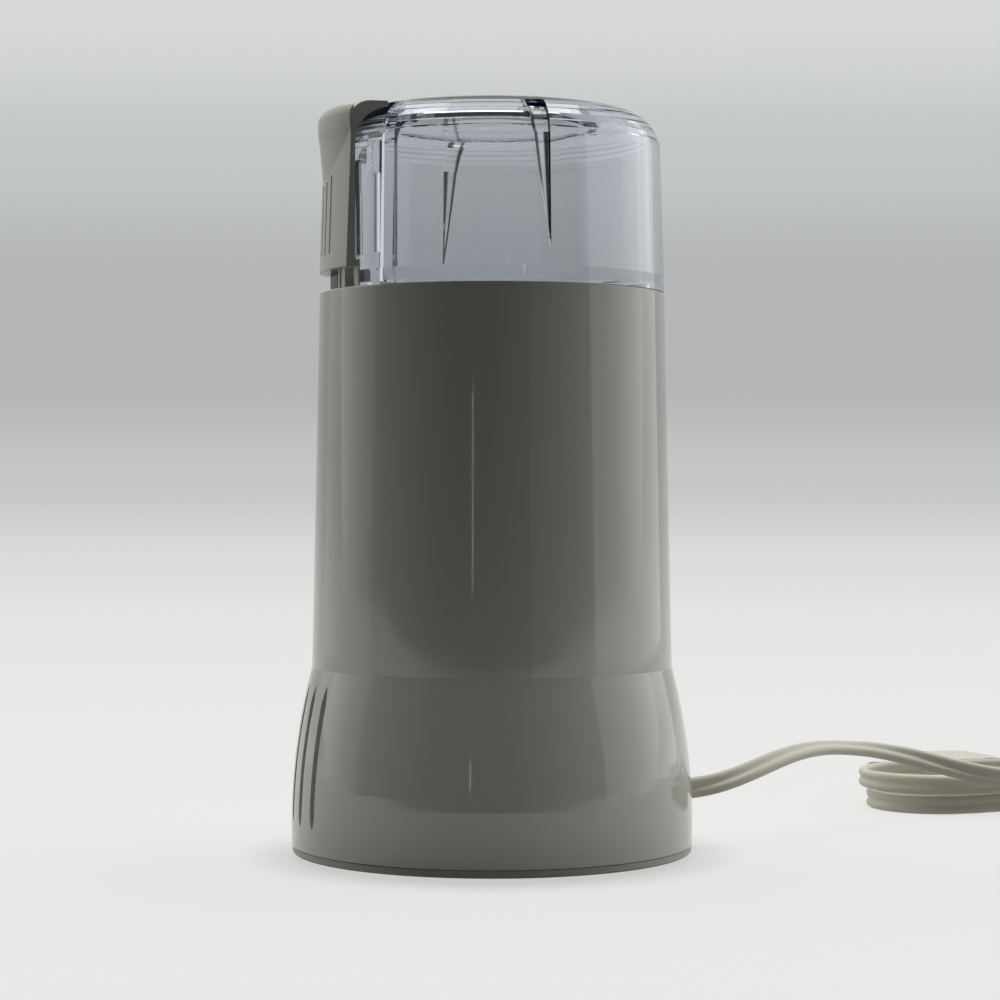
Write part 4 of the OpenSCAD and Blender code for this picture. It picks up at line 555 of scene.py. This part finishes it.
# Brushed stainless: soft rings of light. The brush lines are drawn coarser
# than the real 0.05 mm so that they show.
bowl_steel, tree = new_material("spun_stainless")
place = add_node(tree, "ShaderNodeTexCoord").outputs["Object"]
rings = add_node(tree, "ShaderNodeTexNoise", {
    "Vector": add_node(tree, "ShaderNodeMapping", {
        "Vector": place, "Scale": (0.03, 0.03, 1)}).outputs[0],
    "Scale": 1 / (0.6 * MM), "Detail": 3.0})
gloss = add_node(tree, "ShaderNodeMapRange", {
    "Value": rings.outputs["Fac"], "To Min": 0.2, "To Max": 0.38})
relief = add_node(tree, "ShaderNodeBump", {
    "Height": rings.outputs["Fac"], "Strength": 0.2, "Distance": 0.05 * MM})
show(tree, add_node(tree, "ShaderNodeBsdfPrincipled", {
    "Base Color": colour("#c8cacb"), "Roughness": gloss.outputs[0], "Normal": relief.outputs[0],
    "Metallic": 1.0}))
dress(bowl_steel, "grinding_bowl")

# ---- Blade -----------------------------------------------------------------
# Hardened stainless strip with upturned tips, ground along its length; the
# grinding marks cross the strip.

# Ground stainless: a streaked shine, drawn coarser than the real 0.1 mm marks
blade_steel, tree = new_material("ground_stainless")
place = add_node(tree, "ShaderNodeTexCoord").outputs["Object"]
marks = add_node(tree, "ShaderNodeTexNoise", {
    "Vector": add_node(tree, "ShaderNodeMapping", {
        "Vector": place, "Scale": (1, 0.05, 1)}).outputs[0],
    "Scale": 1 / (0.4 * MM), "Detail": 3.0})
gloss = add_node(tree, "ShaderNodeMapRange", {
    "Value": marks.outputs["Fac"], "To Min": 0.15, "To Max": 0.35})
relief = add_node(tree, "ShaderNodeBump", {
    "Height": marks.outputs["Fac"], "Strength": 0.25, "Distance": 0.05 * MM})
show(tree, add_node(tree, "ShaderNodeBsdfPrincipled", {
    "Base Color": colour("#c4c6c8"), "Roughness": gloss.outputs[0], "Normal": relief.outputs[0],
    "Metallic": 1.0}))
dress(blade_steel, "blade")

# ---- Well, pin and base cover ----------------------------------------------
# Structural mouldings in natural white ABS with a fine spark-eroded grain, so
# that they look duller than the shell.

# Grained ABS: an even, dull white. The grain is drawn coarser than the real
# 0.1 mm so that it shows.
inner_abs, tree = new_material("grained_abs")
place = add_node(tree, "ShaderNodeTexCoord").outputs["Object"]
grain = add_node(tree, "ShaderNodeTexNoise", {
    "Vector": place, "Scale": 1 / (0.7 * MM), "Detail": 3.0})
tint = add_node(tree, "ShaderNodeMix", {
    "Factor": grain.outputs["Fac"], 6: colour("#c9c8bf"), 7: colour("#d6d5cd")}, data_type="RGBA")
relief = add_node(tree, "ShaderNodeBump", {
    "Height": grain.outputs["Fac"], "Strength": 0.3, "Distance": 0.1 * MM})
show(tree, add_node(tree, "ShaderNodeBsdfPrincipled", {
    "Base Color": tint.outputs[2], "Roughness": 0.48, "Normal": relief.outputs[0], "IOR": 1.53}))
dress(inner_abs, "bowl_well", "interlock_pin", "base_cover")

# ---- Rubber feet, seal and motor mounts ------------------------------------
# Black nitrile rubber, compression moulded: matt, with a bloom of grey dust.

# Nitrile rubber: no clear highlight, with dust in patches some 2 mm across
rubber, tree = new_material("moulded_rubber")
place = add_node(tree, "ShaderNodeTexCoord").outputs["Object"]
dust_and_disc_line = add_node(tree, "ShaderNodeTexNoise", {"Vector": place, "Scale": 1 / (2 * MM), "Detail": 6.0})
tint = add_node(tree, "ShaderNodeMix", {
    "Factor": dust_and_disc_line.outputs["Fac"], 6: colour("#1c1c1c"), 7: colour("#353433")}, data_type="RGBA")
relief = add_node(tree, "ShaderNodeBump", {
    "Height": dust_and_disc_line.outputs["Fac"], "Strength": 0.2, "Distance": 0.1 * MM})
show(tree, add_node(tree, "ShaderNodeBsdfPrincipled", {
    "Base Color": tint.outputs[2], "Roughness": 0.72, "Normal": relief.outputs[0], "IOR": 1.5}))
dress(rubber, "rubber_feet", "bowl_seal", "motor_mounts")

# ---- Black mouldings -------------------------------------------------------
# Push rod, blade nut, switch case and fan: glass-filled nylon and phenolic,
# black with a fine grain.

# Glass-filled nylon: a broad grey highlight over black. The fibre grain is
# drawn coarser than the real 0.1 mm so that it shows.
black_nylon, tree = new_material("black_nylon")
place = add_node(tree, "ShaderNodeTexCoord").outputs["Object"]
grain = add_node(tree, "ShaderNodeTexNoise", {
    "Vector": place, "Scale": 1 / (0.5 * MM), "Detail": 3.0})
tint = add_node(tree, "ShaderNodeMix", {
    "Factor": grain.outputs["Fac"], 6: colour("#0e0e0f"), 7: colour("#1d1d1f")}, data_type="RGBA")
relief = add_node(tree, "ShaderNodeBump", {
    "Height": grain.outputs["Fac"], "Strength": 0.25, "Distance": 0.08 * MM})
show(tree, add_node(tree, "ShaderNodeBsdfPrincipled", {
    "Base Color": tint.outputs[2], "Roughness": 0.42, "Normal": relief.outputs[0], "IOR": 1.53}))
dress(black_nylon, "push_rod", "blade_nut", "switch_body", "cooling_fan")

# ---- Steel turned parts and springs ----------------------------------------
# Shaft of ground carbon steel and springs of drawn music wire: bright, with
# fine marks round the axis.

# Ground and drawn steel: mirror-like, broken by lines round the axis that are
# drawn coarser than the real 0.05 mm so that they show
bright_steel, tree = new_material("bright_steel")
place = add_node(tree, "ShaderNodeTexCoord").outputs["Object"]
lines = add_node(tree, "ShaderNodeTexNoise", {
    "Vector": add_node(tree, "ShaderNodeMapping", {
        "Vector": place, "Scale": (0.1, 0.1, 1)}).outputs[0],
    "Scale": 1 / (0.3 * MM), "Detail": 2.0})
gloss = add_node(tree, "ShaderNodeMapRange", {
    "Value": lines.outputs["Fac"], "To Min": 0.14, "To Max": 0.3})
show(tree, add_node(tree, "ShaderNodeBsdfPrincipled", {
    "Base Color": colour("#bdbec0"), "Roughness": gloss.outputs[0], "Metallic": 1.0}))
dress(bright_steel, "motor_shaft", "interlock_spring", "brush_springs")

# ---- The bar's springs -----------------------------------------------------
# Two coils of the same music wire, which stand in the well under the stem of
# the switch bar. They push the bar up and shorten as it goes down.
coils_low, coils_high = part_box("bar_springs")
spring_wire = 0.6
spring_r = 1.25
spring_turns = 6
spring_angle = math.radians(18.5)
spring_foot = coils_low.z / MM
spring_h = coils_high.z / MM - spring_foot
spring_out = (coils_high.x / MM - spring_r - spring_wire / 2) / math.sin(spring_angle)
rings_per_turn = 16
coil_rings = rings_per_turn * spring_turns
wire_r = spring_wire / 2
wire_round = [(wire_r * math.cos(math.radians(k)), wire_r * math.sin(math.radians(k)))
              for k in range(0, 360, 45)]
bar_coils = []
for name, hand in (("bar_coil_left", -1), ("bar_coil_right", 1)):
    path = []
    for i in range(coil_rings + 1):
        a = 2 * math.pi * spring_turns * i / coil_rings
        path.append((hand * spring_out * math.sin(spring_angle) + spring_r * math.cos(a),
                     -spring_out * math.cos(spring_angle) + spring_r * math.sin(a),
                     spring_foot + wire_r + (spring_h - spring_wire) * i / coil_rings))
    coil = sweep(name, path, [0] * len(path), wire_round)
    sweep_outward(coil)
    coil.data.materials.append(bright_steel)
    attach(coil, "body")
    bar_coils.append(coil)
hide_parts("bar_springs")
for coil in bar_coils:
    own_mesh(coil)

# ---- Zinc-plated pressings and screws --------------------------------------
# Brackets, screws and the switch lever: mild steel with clear zinc, whose
# spangle gives a soft, patchy shine.

# Zinc plate: each 2 mm spangle has its own grey and its own shine
zinc, tree = new_material("zinc_plate")
place = add_node(tree, "ShaderNodeTexCoord").outputs["Object"]
spangle = add_node(tree, "ShaderNodeTexVoronoi", {"Vector": place, "Scale": 1 / (2 * MM)})
tint = add_node(tree, "ShaderNodeMix", {
    "Factor": spangle.outputs["Color"], 6: colour("#a9acae"), 7: colour("#c2c3c0")},
    data_type="RGBA")
gloss = add_node(tree, "ShaderNodeMapRange", {
    "Value": spangle.outputs["Distance"], "To Min": 0.26, "To Max": 0.42})
show(tree, add_node(tree, "ShaderNodeBsdfPrincipled", {
    "Base Color": tint.outputs[2], "Roughness": gloss.outputs[0], "Metallic": 1.0}))
dress(zinc, "base_screws", "motor_screws", "clamp_screws", "upper_bracket", "lower_bracket",
      "switch_lever", "switch_bracket")

# ---- Laminated cores -------------------------------------------------------
# Stacks of 0.5 mm silicon steel sheets, dipped in varnish: fine level lines
# with a brown film over grey metal.

# Varnished sheet edges: level stripes, drawn two sheets wide so that they show
laminations, tree = new_material("varnished_laminations")
place = add_node(tree, "ShaderNodeTexCoord").outputs["Object"]
sheet = 0.5
# The wave node turns 20 radians in a unit of length along one axis
sheets = add_node(tree, "ShaderNodeTexWave", {
    "Vector": place, "Scale": 3.14 / 20 / (sheet * MM), "Distortion": 0.2},
    bands_direction="Z")
tint = add_node(tree, "ShaderNodeMix", {
    "Factor": sheets.outputs["Fac"], 6: colour("#4a4744"), 7: colour("#77736d")},
    data_type="RGBA")
relief = add_node(tree, "ShaderNodeBump", {
    "Height": sheets.outputs["Fac"], "Strength": 0.4, "Distance": 0.1 * MM})
show(tree, add_node(tree, "ShaderNodeBsdfPrincipled", {
    "Base Color": tint.outputs[2], "Roughness": 0.38, "Normal": relief.outputs[0],
    "Metallic": 0.8}))
dress(laminations, "rotor_core", "stator_core")

# ---- Windings --------------------------------------------------------------
# Enamelled copper wire laid in tight turns: reddish metal under a clear coat,
# with a ridge for each wire.

# Enamelled copper: a painted red-brown highlight on each ridge, with painted shade between the
# wires. The wires are drawn some 1.6 mm apart, coarser than the real 0.5 mm, so that they show.
winding, tree = new_material("enamelled_copper")
place = add_node(tree, "ShaderNodeTexCoord").outputs["Object"]
wire_ridge = 0.7
wires = add_node(tree, "ShaderNodeTexWave", {
    "Vector": place, "Scale": 3.14 / 20 / (wire_ridge * MM), "Distortion": 1.2, "Detail": 1.0},
    bands_direction="DIAGONAL")
# Painted highlight on the ridges and painted shade in the grooves between the wires
tint = add_node(tree, "ShaderNodeMix", {
    "Factor": wires.outputs["Fac"], 6: colour("#6e2c13"), 7: colour("#c06a3a")},
    data_type="RGBA")
relief = add_node(tree, "ShaderNodeBump", {
    "Height": wires.outputs["Fac"], "Strength": 0.6, "Distance": 0.2 * MM})
show(tree, add_node(tree, "ShaderNodeBsdfPrincipled", {
    "Base Color": tint.outputs[2], "Roughness": 0.3, "Normal": relief.outputs[0],
    "Metallic": 0.9, "Coat Weight": 0.6, "Coat Roughness": 0.12}))
dress(winding, "rotor_windings", "field_coils")

# ---- Commutator, bushes and brush gear -------------------------------------
# Turned copper bars, oil-filled sintered bronze, pressed brass boxes and
# pressed carbon, each with the texture its making leaves.

# Turned copper: bright rings, drawn coarser than the real 0.1 mm tool marks
bar_copper, tree = new_material("turned_copper")
place = add_node(tree, "ShaderNodeTexCoord").outputs["Object"]
turned = add_node(tree, "ShaderNodeTexNoise", {
    "Vector": add_node(tree, "ShaderNodeMapping", {
        "Vector": place, "Scale": (0.1, 0.1, 1)}).outputs[0],
    "Scale": 1 / (0.4 * MM), "Detail": 2.0})
tint = add_node(tree, "ShaderNodeMix", {
    "Factor": turned.outputs["Fac"], 6: colour("#8d4a2a"), 7: colour("#c98355")},
    data_type="RGBA")
show(tree, add_node(tree, "ShaderNodeBsdfPrincipled", {
    "Base Color": tint.outputs[2], "Roughness": 0.28, "Metallic": 1.0}))
dress(bar_copper, "commutator")

# Sintered bronze: dull and dark with oil, with pores drawn coarser than the
# real 0.05 mm so that they show
bronze, tree = new_material("sintered_bronze")
place = add_node(tree, "ShaderNodeTexCoord").outputs["Object"]
pores = add_node(tree, "ShaderNodeTexNoise", {
    "Vector": place, "Scale": 1 / (0.4 * MM), "Detail": 4.0})
tint = add_node(tree, "ShaderNodeMix", {
    "Factor": pores.outputs["Fac"], 6: colour("#6b5028"), 7: colour("#a98650")},
    data_type="RGBA")
show(tree, add_node(tree, "ShaderNodeBsdfPrincipled", {
    "Base Color": tint.outputs[2], "Roughness": 0.5, "Metallic": 1.0}))
dress(bronze, "upper_bush", "lower_bush")

# Pressed brass: smooth and yellow, tarnished in patches some 4 mm across
pressed_brass, tree = new_material("pressed_brass")
place = add_node(tree, "ShaderNodeTexCoord").outputs["Object"]
tarnish = add_node(tree, "ShaderNodeTexNoise", {
    "Vector": place, "Scale": 1 / (4 * MM), "Detail": 5.0})
tint = add_node(tree, "ShaderNodeMix", {
    "Factor": tarnish.outputs["Fac"], 6: colour("#a58238"), 7: colour("#cfae63")},
    data_type="RGBA")
show(tree, add_node(tree, "ShaderNodeBsdfPrincipled", {
    "Base Color": tint.outputs[2], "Roughness": 0.3, "Metallic": 1.0}))
dress(pressed_brass, "brush_holders")

# Pressed carbon: near black with a faint sparkle, its grains drawn coarser
# than the real 0.05 mm so that they show
carbon, tree = new_material("pressed_carbon")
place = add_node(tree, "ShaderNodeTexCoord").outputs["Object"]
grains = add_node(tree, "ShaderNodeTexNoise", {
    "Vector": place, "Scale": 1 / (0.5 * MM), "Detail": 4.0})
tint = add_node(tree, "ShaderNodeMix", {
    "Factor": grains.outputs["Fac"], 6: colour("#19191b"), 7: colour("#333336")},
    data_type="RGBA")
show(tree, add_node(tree, "ShaderNodeBsdfPrincipled", {
    "Base Color": tint.outputs[2], "Roughness": 0.55, "IOR": 1.6}))
dress(carbon, "carbon_brushes")

# ---- Leads, plunger and cord clamp -----------------------------------------
# Red PVC insulation, a red acetal plunger and a grey pressed-fibre clamp.

# Red insulation: an even, slightly waxy shine
red_vinyl, tree = new_material("red_insulation")
place = add_node(tree, "ShaderNodeTexCoord").outputs["Object"]
mottle = add_node(tree, "ShaderNodeTexNoise", {
    "Vector": place, "Scale": 1 / (3 * MM), "Detail": 4.0})
tint = add_node(tree, "ShaderNodeMix", {
    "Factor": mottle.outputs["Fac"], 6: colour("#9c1f1a"), 7: colour("#b93028")},
    data_type="RGBA")
show(tree, add_node(tree, "ShaderNodeBsdfPrincipled", {
    "Base Color": tint.outputs[2], "Roughness": 0.4, "IOR": 1.52}))
dress(red_vinyl, "motor_leads", "switch_plunger")

# Pressed fibre: matt grey flock, like hard card
fibre, tree = new_material("pressed_fibre")
place = add_node(tree, "ShaderNodeTexCoord").outputs["Object"]
flock = add_node(tree, "ShaderNodeTexNoise", {
    "Vector": place, "Scale": 1 / (1.2 * MM), "Detail": 6.0})
tint = add_node(tree, "ShaderNodeMix", {
    "Factor": flock.outputs["Fac"], 6: colour("#3c3c3e"), 7: colour("#59595a")},
    data_type="RGBA")
show(tree, add_node(tree, "ShaderNodeBsdfPrincipled", {
    "Base Color": tint.outputs[2], "Roughness": 0.65, "IOR": 1.5}))
dress(fibre, "cord_clamp")

# ---- Table and backdrop ----------------------------------------------------
# One pale paper sheet that lies on the table, then curves up behind the grinder. Its glow is
# painted light: bright below and above, and greyer behind the barrel's middle.
sweep_front = 1.4
sweep_back = 1.1
sweep_radius = 1.2
sweep_wide = 4.0
sweep_high = 4.0
bend_steps = 16
away_from_camera = -camera_back
profile = [(-sweep_front, 0), (0, 0), (sweep_back, 0)]
for k in range(1, bend_steps + 1):
    a = math.radians(90 * k / bend_steps)
    profile.append((sweep_back + sweep_radius * math.sin(a), sweep_radius * (1 - math.cos(a))))
profile.append((sweep_back + sweep_radius, sweep_high))
right = Vector((math.cos(camera_turn), math.sin(camera_turn), 0))
sheet_verts, sheet_faces = [], []
for i, (away, high) in enumerate(profile):
    for side in (-1, 1):
        sheet_verts.append(away_from_camera * away + right * side * sweep_wide
                           + Vector((0, 0, high)))
    if i:
        sheet_faces.append((2 * i - 2, 2 * i - 1, 2 * i + 1, 2 * i))
sheet_mesh = bpy.data.meshes.new("backdrop")
sheet_mesh.from_pydata(sheet_verts, [], sheet_faces)
for face in sheet_mesh.polygons:
    face.use_smooth = True
backdrop = bpy.data.objects.new("backdrop", sheet_mesh)
scene.collection.objects.link(backdrop)
# Matt background paper with painted light: an even glow in the grey of each height
paper, tree = new_material("backdrop_paper")
place = add_node(tree, "ShaderNodeTexCoord").outputs["Object"]
height = add_node(tree, "ShaderNodeSeparateXYZ", {"Vector": place})
shaded_height = 0.6
ramp = add_node(tree, "ShaderNodeValToRGB", {
    "Fac": add_node(tree, "ShaderNodeMapRange", {
        "Value": height.outputs["Z"], "From Min": 0.0, "From Max": shaded_height}).outputs[0]})
ramp.color_ramp.interpolation = "EASE"
# Painted light: the grey of the glow at each height up the sheet
painted_glow_tones = ((0.0, "#eaeae8"), (0.04, "#e4e5e3"), (0.16, "#cccecd"), (0.32, "#babdbc"),
               (0.5, "#bdc0bf"), (0.72, "#cdd1cf"), (1.0, "#e2e5e4"))
fill_ramp(ramp.color_ramp, [(where, colour(code)) for where, code in painted_glow_tones])
reach = add_node(tree, "ShaderNodeVectorMath", {0: place}, operation="LENGTH")
# The foot's soft contact shadow
shadow_in, shadow_out = 0.048, 0.066
contact = add_node(tree, "ShaderNodeMapRange", {
    "Value": reach.outputs["Value"], "From Min": shadow_in, "From Max": shadow_out,
    "To Min": 0.7, "To Max": 0.86}, interpolation_type="SMOOTHSTEP")
flat_glow = add_node(tree, "ShaderNodeEmission", {
    "Color": ramp.outputs[0], "Strength": contact.outputs[0]})
dull = add_node(tree, "ShaderNodeBsdfDiffuse", {"Color": colour("#6a6a69")})
seen = add_node(tree, "ShaderNodeAddShader", {0: flat_glow.outputs[0], 1: dull.outputs[0]})
# The table throws light up only close to the grinder
near_in, near_out = 0.06, 0.3
near = add_node(tree, "ShaderNodeMapRange", {
    "Value": reach.outputs["Value"], "From Min": near_in, "From Max": near_out,
    "To Min": 0.25, "To Max": 0.03}, interpolation_type="SMOOTHSTEP")
foot_r, foot_clear = 0.05, 0.075
shade = add_node(tree, "ShaderNodeMapRange", {
    "Value": reach.outputs["Value"], "From Min": foot_r, "From Max": foot_clear},
    interpolation_type="SMOOTHSTEP")
bounce = add_node(tree, "ShaderNodeMath", {
    0: near.outputs[0], 1: shade.outputs[0]}, operation="MULTIPLY")
cast = add_node(tree, "ShaderNodeEmission", {
    "Color": colour("#fdfbf2"), "Strength": bounce.outputs[0]})
table_top = 0.002
upper = add_node(tree, "ShaderNodeMath", {
    0: height.outputs["Z"], 1: table_top}, operation="GREATER_THAN")
clear = add_node(tree, "ShaderNodeBsdfTransparent")
thrown = add_node(tree, "ShaderNodeMixShader", {
    0: upper.outputs[0], 1: cast.outputs[0], 2: clear.outputs[0]})
eye = add_node(tree, "ShaderNodeLightPath")
show(tree, add_node(tree, "ShaderNodeMixShader", {
    0: eye.outputs["Is Diffuse Ray"], 1: seen.outputs[0], 2: thrown.outputs[0]}))
# It glows differently for each kind of ray, so it isn't sampled as a lamp
paper.cycles.emission_sampling = "NONE"
sheet_mesh.materials.append(paper)

# ---- Light -----------------------------------------------------------------
# A white tent stands behind the grinder and at its sides, open towards the
# camera. Soft boxes light it from above and from both sides, and a narrow gap
# of daylight beside the camera draws the thin streak on the barrel.


def soft_box(name, turn, distance, high, wide, tall, power, aim=0.09):
    """Area light at an angle from the camera's direction, aimed at the grinder."""
    data = bpy.data.lights.new(name, "AREA")
    data.shape = "RECTANGLE"
    data.size, data.size_y = wide, tall
    data.energy = power
    a = camera_turn + math.radians(turn)
    light = bpy.data.objects.new(name, data)
    light.location = (math.sin(a) * distance, -math.cos(a) * distance, high)
    way = Vector((0, 0, aim)) - light.location
    light.rotation_mode = "QUATERNION"
    light.rotation_quaternion = way.to_track_quat("-Z", "Y")
    scene.collection.objects.link(light)
    return light


soft_box("soft_box_top", 180, 0.11, 1.0, 1.0, 0.5, 3.4)
soft_box("soft_box_right", 101, 1.0, 0.25, 1.4, 1.0, 3.2)
soft_box("soft_box_left", -108, 1.0, 0.2, 1.0, 1.0, 0.75)
soft_box("window_gap", -11.9, 1.0, 0.13, 0.006, 0.12, 0.012, aim=0.1)
world = bpy.data.worlds.new("tent")
world.use_nodes = True
tree = world.node_tree
tree.nodes.clear()
way = add_node(tree, "ShaderNodeTexCoord").outputs["Generated"]
behind = add_node(tree, "ShaderNodeVectorMath", {
    0: way, 1: away_from_camera}, operation="DOT_PRODUCT")
tent = add_node(tree, "ShaderNodeMapRange", {
    "Value": behind.outputs["Value"], "From Min": -0.35, "From Max": 0.7,
    "To Min": 0.02, "To Max": 1.35}, interpolation_type="SMOOTHSTEP")
lit = add_node(tree, "ShaderNodeBackground", {
    "Color": colour("#fbfcfb"), "Strength": tent.outputs[0]})
plain = add_node(tree, "ShaderNodeBackground", {"Color": colour("#c9cbca"), "Strength": 1.0})
eye = add_node(tree, "ShaderNodeLightPath")
# What the clear lid bends towards the front is a lit room, not the dark tent
room = add_node(tree, "ShaderNodeBackground", {"Color": colour("#b9bdc0"), "Strength": 0.8})
bent = add_node(tree, "ShaderNodeMixShader", {
    0: eye.outputs["Is Transmission Ray"], 1: lit.outputs[0], 2: room.outputs[0]})
around = add_node(tree, "ShaderNodeMixShader", {
    0: eye.outputs["Is Camera Ray"], 1: bent.outputs[0], 2: plain.outputs[0]})
add_node(tree, "ShaderNodeOutputWorld", {"Surface": around.outputs[0]})
scene.world = world
scene.view_settings.view_transform = "Standard"
